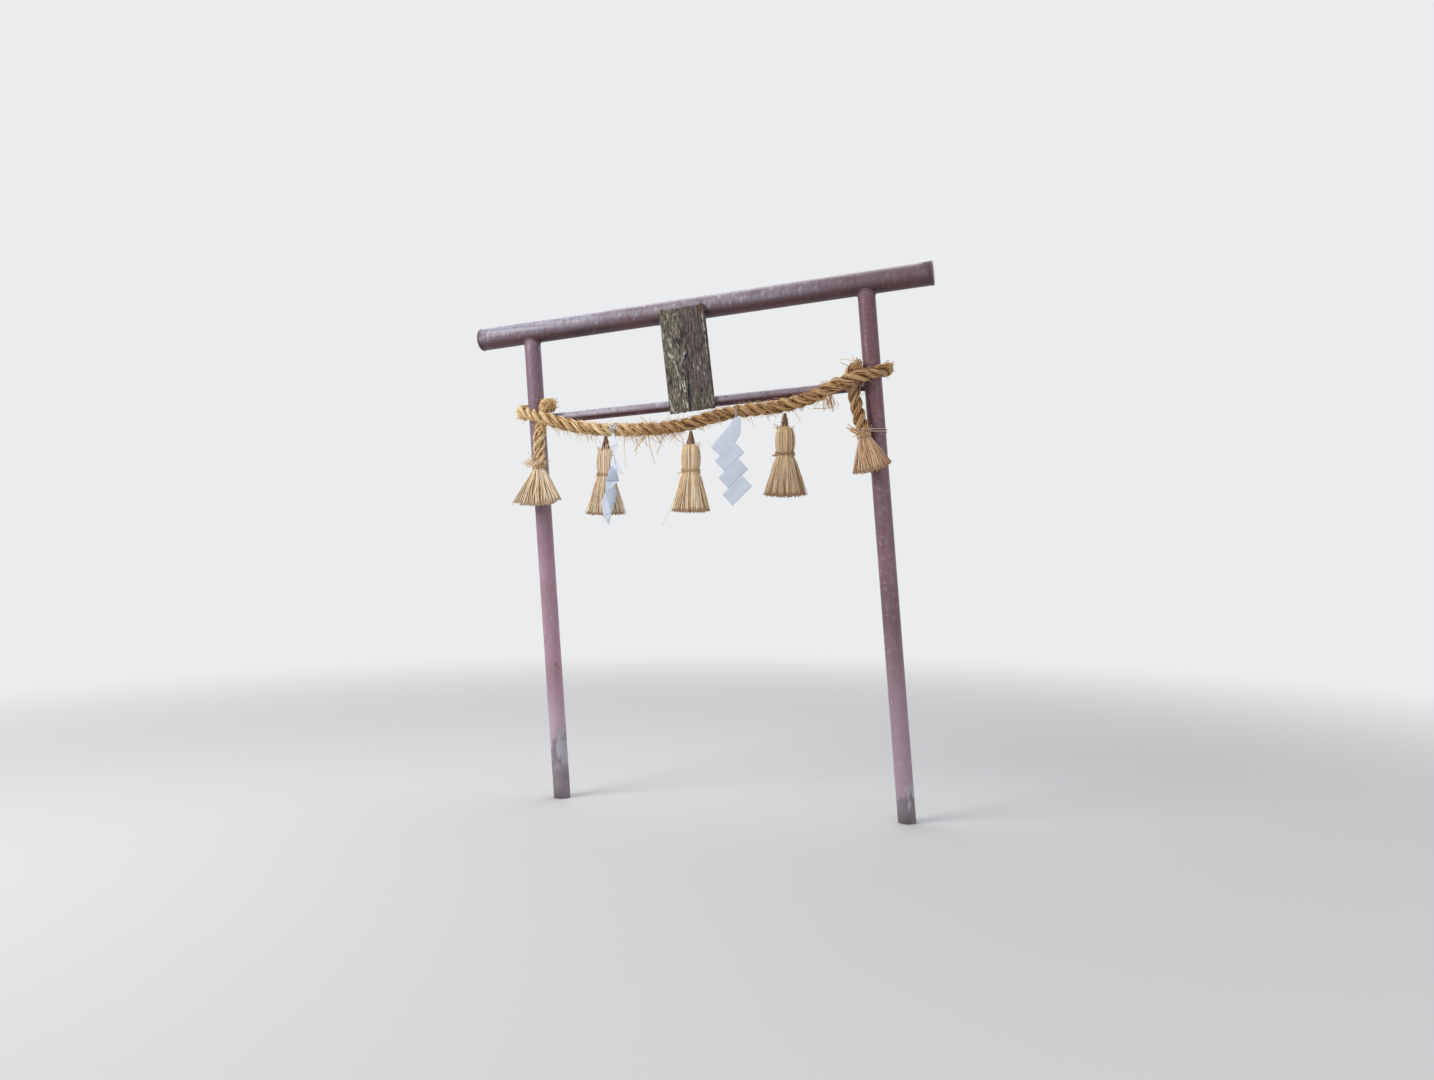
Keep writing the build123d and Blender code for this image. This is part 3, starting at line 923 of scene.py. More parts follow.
@dataclass
class Pipework:
    """The posts and the beams, with the beads that join them."""

    gate: GateFrame
    round_points: int = 72
    ring_step: float = 0.060
    bite: float = 0.0015
    bead: float = 0.0034
    ripple_length: float = 0.0046
    cap_profile: tuple[Span, ...] = (
        (0.02, 0.0), (0.4, 0.0), (0.8, 0.0), (0.955, 0.0), (0.985, 0.0007), (0.998, 0.0022), (1.0, 0.0060),
    )

    def _circle(self, radius: float) -> tuple[Rows, Rows]:
        """The cosine and the sine of the angles round a pipe, times its radius."""
        angles = even_angles(self.round_points)
        return radius * np.cos(angles), radius * np.sin(angles)

    def _pipe(self, starts: Rows, ends: Rows, name: str, material: Material, node: str) -> None:
        """Builds a pipe in place of its CAD node, with flat end lids that keep its rims crisp.

        Args:
            starts: The ring at its start, which need not be level.
            ends: The ring at its end.
            name: The piece's name.
            material: Its finish.
            node: The CAD node.
        """
        rings = max(2, round(float(np.linalg.norm(ends[0] - starts[0])) / self.ring_step))
        share = np.linspace(0.0, 1.0, rings)[:, None, None]
        heap = MeshHeap()
        heap.skin(starts[None] * (1.0 - share) + ends[None] * share)
        made = heap.seat(name, material, "frame_paint", node)
        for polygon in made.data.polygons:
            if len(polygon.vertices) > 4:
                polygon.use_smooth = False

    def post(self, name: str, along: float, paint: PipePaint) -> None:
        """Builds one post, from the ground up to the upper beam.

        Args:
            name: The post's name.
            along: Where it stands along the beams.
            paint: Its finish.
        """
        gate = self.gate
        out, forward = self._circle(gate.post_radius)
        low = -(along + out) * math.tan(gate.lean)
        high = gate.kasagi_height - np.sqrt(gate.kasagi_radius**2 - forward**2) + self.bite
        starts, ends = gate.point(along + out, low, forward), gate.point(along + out, high, forward)
        self._pipe(starts[::-1], ends[::-1], name, paint.make(), name)
        self._weld(gate.point(along + out * 1.02, high - 0.002, forward * 1.02), f"{name}_weld")

    def kasagi(self, paint: PipePaint) -> None:
        """Builds the upper beam and its flat caps.

        Args:
            paint: Its finish.
        """
        gate = self.gate
        rise, forward = self._circle(gate.kasagi_radius)
        low, high = gate.kasagi_ends
        inner, middle, material = gate.cap_thickness, gate.kasagi_height, paint.make()
        starts = gate.point(low + inner, middle + rise, forward)
        ends = gate.point(high - inner, middle + rise, forward)
        self._pipe(starts, ends, "kasagi_pipe", material, "kasagi")
        for side, end, outward in (("left", low, -1), ("right", high, 1)):
            rings = []
            for share, depth in self.cap_profile:
                rings.append(gate.point(end - outward * depth, middle + rise * share, forward * share))
            cap = MeshHeap()
            cap.skin(np.stack(rings)[::-outward])
            cap.seat(f"kasagi_end_{side}", material, "frame_paint", f"kasagi_cap_{side}")
            seam = gate.point(end - outward * (inner + 0.0012), middle + rise * 1.006, forward * 1.006)
            self._weld(seam, f"kasagi_end_weld_{side}", 0.5)

    def nuki(self, paint: PipePaint) -> None:
        """Builds the lower beam between the posts.

        Args:
            paint: Its finish.
        """
        gate = self.gate
        rise, forward = self._circle(gate.nuki_radius)
        slope = (gate.nuki_heights[1] - gate.nuki_heights[0]) / gate.post_spacing
        inset = np.sqrt(gate.post_radius**2 - forward**2) - self.bite
        left, right = inset, gate.post_spacing - inset
        starts = gate.point(left, gate.nuki_heights[0] + slope * left + rise, forward)
        ends = gate.point(right, gate.nuki_heights[0] + slope * right + rise, forward)
        self._pipe(starts, ends, "nuki_pipe", paint.make(), "nuki")
        for side, ring in (("left", starts + gate.along * 0.002), ("right", ends - gate.along * 0.002)):
            self._weld(ring, f"nuki_weld_{side}", 0.8)

    def _weld(self, ring: Rows, name: str, share: float = 1.0) -> None:
        """Lays a rippled bead along a closed seam.

        Args:
            ring: Points of the seam.
            name: The bead's name.
            share: Its size as a share of the usual.
        """
        line = Line(np.concatenate([ring, ring[:2]]), 0.0016)
        rng = np.random.default_rng(len(name))
        ripple = 1.0 + 0.16 * np.sin(2 * math.pi * line.marks / self.ripple_length)
        half = self.bead * share * (ripple + rng.normal(0.0, 0.05, len(line.marks)))
        heap = MeshHeap()
        heap.tube(line.points, line.side, half, half, 0.5, 8)
        heap.seat(name, WeldSteel().make(), "frame_paint")


@dataclass
class StrawRope:
    """The rope from fringe to fringe: strands of straw laid round each other, with loose straws on it."""

    gate: GateFrame
    span_radius: float = 0.029
    wrap_radius: float = 0.026
    tail_radius: float = 0.0272
    ease: float = 0.05
    pitch: float = 0.150
    strands: int = 3
    straws_round: int = 19
    straw_half: float = 0.0023
    core_step: float = 0.018
    core_share: float = 0.88
    step: float = 0.004
    hairs: int = 1100
    outer_reach: float = 0.06245
    left_tail: tuple[Point, ...] = (
        (0.026, 0.069, 1.534), (0.030, 0.066, 1.630), (0.040, 0.059, 1.716), (0.058, 0.049, 1.780),
        (0.068, 0.046, 1.838), (0.062, -0.064, 1.829),
    )
    left_outer: Span = (1.820, 1.798)
    left_front: tuple[Point, ...] = ((0.004, 0.070, 1.781), (0.060, 0.113, 1.764), (0.128, 0.106, 1.740))
    right_tail: tuple[Point, ...] = (
        (0.048, 0.064, 1.630), (0.068, 0.058, 1.734), (0.080, 0.054, 1.838), (0.080, 0.046, 1.926),
        (0.070, -0.064, 1.920),
    )
    right_outer: Span = (1.924, 1.908)
    right_front: tuple[Point, ...] = ((0.004, 0.068, 1.892), (0.062, 0.106, 1.874), (0.134, 0.100, 1.852))
    span: tuple[Point, ...] = (
        (0.109, -0.080, 1.712), (0.208, -0.070, 1.699), (0.403, -0.066, 1.691), (0.594, -0.066, 1.698),
        (0.688, -0.066, 1.719), (0.780, -0.066, 1.744), (0.872, -0.066, 1.758), (1.052, -0.067, 1.768),
        (1.140, -0.070, 1.784), (1.228, -0.082, 1.812),
    )
    tones: Tones = ((0.24, 0.12, 0.05), (0.84, 0.55, 0.26), (1.0, 0.81, 0.48))
    loose_tones: Tones = ((0.30, 0.15, 0.062), (0.74, 0.47, 0.215), (0.98, 0.75, 0.43))
    # painted light: the hanging left tail's straws are made paler, and a later stretch of the span is made
    # paler too
    paler_runs_with_painted_light: tuple[tuple[float, ...], tuple[float, ...]] = (
        (0.36, 0.46, 0.84, 0.94, 1.12, 1.25), (0.36, 0.0, 0.0, 0.24, 0.24, 0.0),
    )
    hinges: tuple[float, ...] = (0.238, 0.291, 0.650, 0.830, 0.867, 1.078)
    frayed: tuple[tuple[float, float, int, float], ...] = (
        (-0.06, 0.10, 90, 0.036), (0.10, 0.30, 170, 0.050), (0.33, 0.62, 330, 0.062),
        (0.66, 1.10, 260, 0.042), (1.10, 1.35, 120, 0.040),
    )
    tufts: tuple[tuple[Point, Point, int, float, float], ...] = (
        ((-0.062, -0.062, 1.812), (0.50, -0.25, 0.85), 80, 0.036, 0.009),
        ((-0.050, -0.030, 1.824), (0.80, -0.2, 0.5), 50, 0.030, 0.010),
        ((1.398, -0.066, 1.918), (-0.8, -0.3, 0.5), 80, 0.030, 0.009),
        ((1.394, -0.044, 1.934), (-0.3, -0.3, 0.8), 40, 0.024, 0.009),
        ((-0.182, -0.024, 1.782), (-1.0, -0.2, -0.05), 60, 0.026, 0.011),
        ((-0.180, -0.030, 1.794), (-0.6, -0.3, 0.6), 24, 0.020, 0.010),
        ((1.500, -0.020, 1.922), (1.0, -0.15, 0.35), 60, 0.034, 0.010),
        ((-0.060, -0.095, 1.735), (0.5, -0.3, -0.9), 36, 0.034, 0.012),
        ((1.270, -0.085, 1.800), (0.2, -0.1, -1.0), 40, 0.040, 0.016),
    )
    long_straws: tuple[tuple[Point, Point, float], ...] = (
        ((0.266, -0.090, 1.705), (0.279, -0.094, 1.756), 0.0022),
        ((0.455, -0.088, 1.714), (0.423, -0.095, 1.754), 0.0023),
        ((0.569, -0.088, 1.720), (0.546, -0.095, 1.754), 0.0021),
        ((0.455, -0.085, 1.664), (0.380, -0.100, 1.593), 0.0034),
        ((0.443, -0.085, 1.659), (0.400, -0.105, 1.622), 0.0032),
        ((0.430, -0.085, 1.664), (0.352, -0.100, 1.634), 0.0028),
        ((0.470, -0.085, 1.664), (0.412, -0.102, 1.640), 0.0028),
        ((0.480, -0.085, 1.668), (0.520, -0.102, 1.632), 0.0026),
        ((0.455, -0.080, 1.660), (0.471, -0.090, 1.537), 0.0026),
        ((0.533, -0.082, 1.668), (0.495, -0.092, 1.572), 0.0028),
        ((0.560, -0.082, 1.672), (0.596, -0.095, 1.630), 0.0024),
        ((0.339, -0.080, 1.668), (0.344, -0.096, 1.522), 0.0012),
        ((1.205, -0.088, 1.752), (1.292, -0.094, 1.743), 0.0027),
        ((1.362, -0.062, 1.931), (1.306, -0.070, 1.937), 0.0030),
        ((1.368, -0.062, 1.951), (1.325, -0.068, 1.972), 0.0022),
    )

    def _side_route(self, along: float, side: int, tail: tuple, outer: Span, front: tuple) -> list[Point]:
        """The route beside one post, from its tail up and round to the front.

        Args:
            along: Where the post stands along the beams.
            side: 1 for the left post, -1 for the right one.
            tail: Points of the tail, as distances inward and forward and a height.
            outer: The heights behind and in front of the post's outer side.
            front: Points in front of the post.

        Returns:
            The route's points.
        """
        reach = self.outer_reach
        round_post = ((-reach, -reach, outer[0]), (-reach, reach, outer[1]))
        return [self.gate.beside_post(along, side, *point) for point in (*tail, *round_post, *front)]

    def route(self) -> list[Point]:
        """The rope's whole route.

        Returns:
            Its points, from the left tail to the right one.
        """
        spacing = self.gate.post_spacing
        left = self._side_route(0.0, 1, self.left_tail, self.left_outer, self.left_front)
        right = self._side_route(spacing, -1, self.right_tail, self.right_outer, self.right_front)
        return left + list(self.span) + right[::-1]

    def centre(self) -> Line:
        """Reads the rope's centre line from a NURBS spline of its route.

        Returns:
            The line.
        """
        route = self.route()
        curve = bpy.data.curves.new("rope_route", "CURVE")
        curve.dimensions = "3D"
        curve.resolution_u = 20
        spline = curve.splines.new("NURBS")
        spline.points.add(len(route) - 1)
        for point, place in zip(spline.points, route):
            point.co = (*place, 1.0)
        spline.order_u = 3
        spline.use_endpoint_u = True
        carrier = bpy.data.objects.new("rope_route", curve)
        mesh = bpy.data.meshes.new_from_object(carrier)
        points = np.array([vertex.co[:] for vertex in mesh.vertices])
        bpy.data.objects.remove(carrier)
        bpy.data.curves.remove(curve)
        bpy.data.meshes.remove(mesh)
        return Line(points, self.step)

    def radius(self, line: Line, marks: Rows) -> Rows:
        """How thick the rope is: most between the posts, less where it is tied.

        Args:
            line: The rope's centre line.
            marks: Distances along it.

        Returns:
            Its radius there.
        """
        route = np.array(self.route())
        radii = (self.tail_radius, self.wrap_radius, self.span_radius, self.wrap_radius, self.tail_radius)
        knots: list[float] = []
        values: list[float] = []
        for number, (first, second) in enumerate(((5, 6), (9, 10), (-9, -10), (-5, -6))):
            change = line.nearest((route[first] + route[second]) / 2)
            knots += [change - self.ease, change + self.ease]
            values += radii[number : number + 2]
        return np.interp(marks, knots, values)

    def strand(self, line: Line, marks: Rows, number: Rows | int) -> tuple[Rows, Rows, Rows, Rows]:
        """One strand's own line.

        Args:
            line: The rope's centre line.
            marks: Distances along it.
            number: Which strand, a number or one for each row of marks.

        Returns:
            The strand's centre, its outward and its sideways direction, and its radius.
        """
        points, _, side, rise = line.at(marks)
        turn = 2 * math.pi * (marks / self.pitch + np.asarray(number) / self.strands)
        outward, sideways = around(side, rise, turn), around(rise, side, -turn)
        full = self.radius(line, marks)
        swell = 1.0 + 0.05 * np.sin(marks * 31.0 + np.asarray(number) * 2.1) + 0.03 * np.sin(marks * 83.0)
        return points + outward * (full * 0.56)[..., None], outward, sideways, full * 0.49 * swell

    def _straw_runs(self, line: Line, rng: Random) -> tuple[Rows, Rows, Rows]:
        """Divides each strand into straws that follow on each other.

        Args:
            line: The rope's centre line.
            rng: Draws their lengths.

        Returns:
            Where each straw starts, ends and in which strand it lies.
        """
        runs = []
        for strand in range(self.strands):
            for _ in range(self.straws_round):
                start = -rng.uniform(0.0, 0.4)
                while start < line.length - 0.03:
                    end = start + rng.uniform(0.30, 0.55)
                    if end > 0.03:
                        runs.append((max(start, 0.0), min(end, line.length), strand))
                    start = end - rng.uniform(0.01, 0.03)
        table = np.array(runs)
        return table[:, 0], table[:, 1], table[:, 2]

    def build(self) -> Line:
        """Returns:
            The rope's centre line.
        """
        rng = np.random.default_rng(41)
        line = self.centre()
        heap = MeshHeap()
        coarse = np.linspace(0.0, line.length, round(line.length / self.core_step))
        for strand in range(self.strands):
            centre, outward, _, own = self.strand(line, coarse, strand)
            # painted shade: a dark core under the straws fills the gaps between them
            heap.tube(centre, outward, own * self.core_share, own * self.core_share, 0.10, 10)
        self._lay_straws(heap, line, rng)
        finish = Straw("rope_golden", *self.tones, 0.3, 0.9)
        made = heap.seat("straw_rope", finish.make(), "rope_straw", "rope")
        self._loose(line, rng)
        return line

    def _lay_straws(self, heap: MeshHeap, line: Line, rng: Random) -> None:
        """Lays single straws round each strand, with painted shade: darker the deeper they lie, paler further
        out.

        Args:
            heap: Where they go.
            line: The rope's centre line.
            rng: Draws their places, widths and tones.
        """
        starts, ends, strands = self._straw_runs(line, rng)
        shape = (len(starts), 1)
        share = np.linspace(0.0, 1.0, 30)[None, :]
        marks = starts[:, None] + (ends - starts)[:, None] * share
        centre, outward, sideways, own = self.strand(line, marks, strands[:, None])
        first = rng.uniform(0.0, 2 * math.pi, shape)
        turn = first - 2 * math.pi * marks / (self.pitch * rng.uniform(1.0, 1.35, shape))
        depth = rng.uniform(0.90, 1.04, shape)
        loose = eased(0.93, 1.0, share) + eased(0.07, 0.0, share)
        lift = loose * rng.uniform(0.0, 0.004, shape) * (rng.random(shape) < 0.6)
        lines = centre + around(outward, sideways, turn) * (own * depth + lift)[..., None]
        taper = np.interp(share, [0.0, 0.04, 0.96, 1.0], [0.5, 1.0, 1.0, 0.5])
        widths = self.straw_half * rng.uniform(0.7, 1.25, shape) * taper
        height = np.linalg.norm(lines - line.at(marks)[0], axis=-1) / self.radius(line, marks)
        # painted shade: straws that lie deeper in the rope get darker tones, and those further out get paler
        # ones
        tones = rng.beta(1.6, 1.6, shape) * 0.75 + 0.55 * eased(0.55, 1.02, height) - 0.22
        # painted light: straws made paler along the listed stretches, among them the hanging left tail
        tones = np.clip(tones + np.interp(marks, *self.paler_runs_with_painted_light), 0.0, 1.0)
        heap.tubes(lines, around(sideways, outward, -turn), widths, widths * 0.5, tones)

    def _loose(self, line: Line, rng: Random) -> None:
        """Adds the hairs, the tufts and the long single straws that stand out of the rope.

        Args:
            line: The rope's centre line.
            rng: Draws their places and lengths.
        """
        heap = MeshHeap()
        x, y, z = line.points.T
        for low, high, count, longest in self.frayed:
            shown = line.marks[(x > low) & (x < high) & (np.abs(y) > 0.03) & (z > 1.66)]
            self._hairs(heap, line, rng.choice(shown, count), rng, (0.016, longest), 0.0011, -0.75)
        marks = rng.uniform(0.0, line.length, self.hairs)
        self._hairs(heap, line, marks, rng, (0.012, 0.032), 0.0010, -0.1)
        for place, aim, count, reach, spread in self.tufts:
            roots = np.array(place) + rng.normal(0.0, spread, (count, 3))
            aims = np.array(aim) + rng.normal(0.0, 0.19, (count, 3))
            lengths = reach * rng.uniform(0.6, 1.0, count)
            bent_straws(heap, roots, aims, lengths, rng, 0.0020, 0.12, bend=0.16)
        for root, tip, half in self.long_straws:
            straw_to(heap, root, tip, rng, half, (0.75, 1.0))
        finish = Straw("loose_golden", *self.loose_tones, 0.3, 0.6)
        heap.seat("rope_loose_straws", finish.make(), "rope_straw")

    def _hairs(
        self,
        heap: MeshHeap,
        line: Line,
        marks: Rows,
        rng: Random,
        sizes: Span,
        half: float,
        fall: float,
    ) -> None:
        """Adds straws that peel off the rope's surface along its lay.

        Args:
            heap: Where they go.
            line: The rope's centre line.
            marks: Where along the rope they start.
            rng: Draws the rest.
            sizes: The shortest and the longest.
            half: Half their width.
            fall: How far they aim down (negative) or up.
        """
        count = len(marks)
        points, along, side, rise = line.at(marks)
        turn = rng.uniform(0.0, 2 * math.pi, count)
        radial, lay = around(side, rise, turn), around(rise, side, -turn)
        roots = points + radial * (self.radius(line, marks) * 0.90)[:, None]
        way = np.where(rng.random((count, 1)) < 0.65, 1.0, -1.0)
        aims = (along + lay * 0.6) * way * rng.uniform(0.6, 1.0, (count, 1))
        aims = aims + radial * rng.uniform(0.15, 0.55, (count, 1))
        aims = aims + rng.normal(0.0, 0.18, (count, 3))
        aims[:, 2] += fall * np.where(radial[:, 2] < 0.3, 1.0, 0.2)
        reach = rng.uniform(*sizes, count) * np.where(radial[:, 1] > 0.1, 0.45, 1.0)
        across = np.stack([roots[:, 0], roots[:, 0] + unit(aims)[:, 0] * reach])
        low, high, hinges = across.min(axis=0)[:, None], across.max(axis=0)[:, None], np.array(self.hinges)
        passes = ((low < hinges + 0.014) & (high > hinges - 0.014)).any(axis=1)
        reach = reach * np.where(passes & (radial[:, 2] < 0.4), 0.3, 1.0)
        bent_straws(heap, roots, aims, reach, rng, half, 0.3, (0.2, 1.0), 0.26)


@dataclass
class StrawBundle:
    """A bundle of straws through given sections, such as a tassel's head and skirt or a fringe."""

    centres: Rows
    widths: Rows
    depths: Rows
    straws: int
    half: float = 0.0018
    inner: float = 0.30
    steps: int = 29
    crowd: float = 1.25
    end_spread: float = 0.018
    splay: float = 0.06
    spread_from: float = 0.42
    clumps: int = 11
    hem: float = 0.6
    core: float = 0.80
    # painted shade: the tone of the dark core inside the bundle
    core_shade_tone: float = 0.22

    def add(self, heap: MeshHeap, rng: Random) -> None:
        """Adds the straws and a dark core, painted shade that closes the gaps between them.

        Args:
            heap: Where they go.
            rng: Draws each straw's place, width and tone.
        """
        shape = (self.straws, 1)
        angle = rng.uniform(0.0, 2 * math.pi, shape)
        deep = rng.random(shape) < self.inner
        layer = np.where(deep, np.sqrt(rng.uniform(0.02, 0.72, shape)), rng.uniform(0.85, 1.03, shape))
        ends = 1.0 + rng.normal(0.0, self.end_spread, shape) * 0.5
        flare, drop = (float(np.linalg.norm(rows[-1] - rows[0])) for rows in (self.widths, self.centres))
        drift = np.cos(angle) * layer * flare / drop
        share = (np.linspace(0.0, 1.0, self.steps) ** self.crowd)[None, :] * ends
        share = share * (1.0 + drift * drift) ** (-0.5 * self.hem)
        late = eased(self.spread_from, 1.0, share)
        turn = angle + late * rng.normal(0.0, self.splay, shape) + 0.02 * np.sin(share * 9.0 + angle * 5.0)
        layer = layer * (1.0 + late * rng.normal(0.0, 0.05, shape))
        lines, across, back = self._read(share)
        gather = np.sin(angle * self.clumps + 0.9) + 0.6 * np.sin(angle * (self.clumps * 1.7) + 2.0)
        layer = layer * (1.0 + late * 0.03 * gather)
        turn = turn - late * 0.05 * np.cos(angle * self.clumps + 0.9)
        lines = lines + around(across, back, turn, layer)
        half = self.half * rng.uniform(0.65, 1.3, shape) * np.ones_like(share)
        # painted shade: straws in the clumps that stand out are paler, and those between the clumps are
        # darker
        tones = rng.beta(1.9, 1.4, shape) + 0.14 * gather * (0.2 + 0.8 * late)
        heap.tubes(lines, around(back, across, -turn), half, half * 0.55, np.clip(tones, 0.0, 1.0))
        middle, wide, thick = (rows[:, None] for rows in self._read(np.linspace(0.0, 0.99, 24)))
        heap.skin(middle + around(wide, thick, even_angles(28)) * self.core, self.core_shade_tone)

    def _read(self, share: Rows) -> list[Rows]:
        """Reads between the sections, in straight runs that go on beyond the last one.

        Args:
            share: Shares of the way from the first section to the last.

        Returns:
            The centres, widths and depths there.
        """
        clipped = np.clip(share, 0.0, 1.0)
        beyond = (share - clipped)[..., None]
        knots = np.linspace(0.0, 1.0, len(self.centres))
        read = []
        for rows in (self.centres, self.widths, self.depths):
            past_end = beyond * (rows[-1] - rows[-2]) * (len(knots) - 1)
            read.append(read_between(knots, rows, clipped) + past_end)
        return read


@dataclass
class Tassel:
    """A straw tassel: a folded head, a bound neck and a skirt, hung by a frayed cord under the rope."""

    number: int
    place: Point
    skirt_width: float
    skirt_depth: float
    straws: int = 430
    length: float = 0.300
    head_length: float = 0.112
    head_width: float = 0.086
    head_profile: tuple[Span, ...] = (
        (0.0, 0.30), (0.003, 0.52), (0.008, 0.70), (0.016, 0.82), (0.030, 0.92), (0.060, 1.00), (0.088, 0.97),
    )
    head_strays: int = 40
    neck_width: float = 0.078
    neck_length: float = 0.012
    neck_stubs: int = 9
    hang_length: float = 0.058
    cord_fibres: int = 64
    cord_hairs: int = 70
    twine: float = 0.0054
    tint: Point = (1.0, 1.0, 1.0)
    strays: tuple[tuple[Point, Point], ...] = ()
    tones: Tones = ((0.46, 0.265, 0.135), (0.90, 0.67, 0.42), (1.0, 0.89, 0.67))

    @property
    def roundness(self) -> float:
        """The head's depth as a share of its width."""
        return (1 + self.skirt_depth / self.skirt_width) / 2

    @property
    def head_top(self) -> Rows:
        """The top of the head."""
        return np.array(self.place) - (0.0, 0.0, self.hang_length)

    def _seat(self, heap: MeshHeap, part: str, material: Material, slot: str) -> None:
        """Puts one part on the tassel's body, in place of its CAD node."""
        body = f"tassel_{self.number}"
        heap.seat(f"{body}_{part}", material, slot, f"tassel_{part}_{self.number}", body=body)

    def _bundle(self) -> StrawBundle:
        """The straws of the head and the skirt.

        Returns:
            Their bundle.
        """
        head, neck, hem = self.head_width / 2, self.neck_width / 2, self.skirt_width / 2
        profile = [(drop, head * share) for drop, share in self.head_profile]
        profile += [
            (self.head_length - 0.006, neck * 0.95),
            (self.head_length + self.neck_length + 0.006, neck * 0.95),
            (0.155, neck + (hem - neck) * 0.22),
            (self.length, hem),
        ]
        drops = np.linspace(0.0, self.length, 42)
        halves = np.interp(drops, *np.transpose(profile))
        late = eased(self.head_length, self.length, drops)
        deep = halves * (self.roundness * (1 - late) + self.skirt_depth / self.skirt_width * late)
        across, back, down = np.eye(3)
        centres = self.head_top - np.outer(drops, down)
        return StrawBundle(centres, np.outer(halves, across), np.outer(deep, back), self.straws)

    def _straw(self, rng: Random) -> None:
        """Builds the head and the skirt, with strays.

        Args:
            rng: Draws the straws.
        """
        heap = MeshHeap()
        self._bundle().add(heap, rng)
        for root, tip in self.strays:
            straw_to(heap, root, tip, rng, 0.0020, (0.7, 1.0))
        count, head, neck = self.head_strays, self.head_width / 2, self.neck_width / 2
        across, back, up = np.eye(3)
        rim = around(across, back * self.roundness, rng.uniform(0.0, 2 * math.pi, count), head)
        roots = self.head_top + rim * 0.75 - np.outer(rng.uniform(0.004, 0.02, count), up)
        aims = rim / head * 0.5 + up + rng.normal(0.0, 0.3, (count, 3))
        bent_straws(heap, roots, aims, rng.uniform(0.01, 0.032, count), rng, 0.0014, 0.1)
        count = self.neck_stubs
        stub = self.head_top - (neck * 0.9, neck * self.roundness * 0.3, self.head_length + 0.012)
        aims = np.array((-1.0, -0.25, -0.15)) + rng.normal(0.0, 0.16, (count, 3))
        roots = stub + rng.normal(0.0, 0.0025, (count, 3))
        bent_straws(heap, roots, aims, rng.uniform(0.012, 0.024, count), rng, 0.002, 0.1, (0.6, 1.0))
        finish = Straw(f"tassel_straw_tone_{self.number}", *tinted(self.tones, self.tint), cut=0.75)
        self._seat(heap, "straw", finish.make(), "loose_straw")

    def _cord(self, rng: Random) -> None:
        """Builds the frayed cord that the tassel hangs by.

        Args:
            rng: Draws its fibres.
        """
        heap = MeshHeap()
        top, foot = np.array(self.place) - (0.0, 0.0, 0.001), self.head_top
        steps = np.linspace(0.0, 1.0, 14)[:, None]
        heap.tube(top * (1 - steps) + foot * steps, (1.0, 0.0, 0.0), 0.0048, 0.0048, 0.15, 8)
        for number in range(self.cord_fibres):
            angle = 2 * math.pi * number / 19 + rng.uniform(-0.2, 0.2)
            out = np.array((math.cos(angle), math.sin(angle), 0.0))
            start = top + out * rng.uniform(0.002, 0.006)
            spread = rng.uniform(0.004, 0.024)
            end = foot + out * spread - (0.0, 0.0, 0.001 + spread * spread * 14)
            waist = out * np.sin(steps * math.pi) * rng.uniform(-0.003, 0.002)
            waver = rng.normal(0.0, 0.0016, 3) * np.sin(steps * 9.0 + number)
            line = Line(start * (1 - steps**1.5) + end * steps**1.5 + (waist + waver), 0.003)
            half = rng.uniform(0.0006, 0.0011)
            heap.tube(line.points, line.side, half, half * 0.8, rng.uniform(0.1, 1.0), 5)
        count = self.cord_hairs
        roots = top * 0.35 + foot * 0.65 + rng.normal(0.0, 1.0, (count, 3)) * (0.004, 0.004, 0.010)
        aims = rng.normal(0.0, 1.0, (count, 3))
        bent_straws(heap, roots, aims, rng.uniform(0.008, 0.018, count), rng, 0.0007, 0.4, bend=0.4)
        finish = Twine(f"hang_cord_{self.number}", (0.17, 0.085, 0.055), (0.50, 0.30, 0.20))
        self._seat(heap, "cord", finish.make(), "brown_twine")

    def _tie(self, rng: Random) -> None:
        """Builds the twine round the neck, with its knot.

        Args:
            rng: Draws the twine's tones.
        """
        heap = MeshHeap()
        reach = self.neck_width / 2 + self.twine * 0.45
        middle = self.head_top - (0.0, 0.0, self.head_length + self.neck_length / 2)
        turns = wound(middle, (reach, 0.0, 0.0), (0.0, reach * self.roundness, 0.0), (0.0, 0.0, 0.0165), 2.6)
        knot = middle + (-reach * 0.55, -reach * self.roundness * 0.86, 0.0)
        loop = wound(knot, (0.006, 0.0, 0.001), (0.0, 0.0, 0.006), (0.0, -0.004, 0.0), 1.4)
        for points in (turns, loop):
            LaidCord(self.twine).add(heap, points, rng)
        self._seat(heap, "tie", Twine().make(), "brown_twine")

    def build(self) -> None:
        """Builds the whole tassel."""
        rng = np.random.default_rng(500 + self.number)
        self._straw(rng)
        self._cord(rng)
        self._tie(rng)


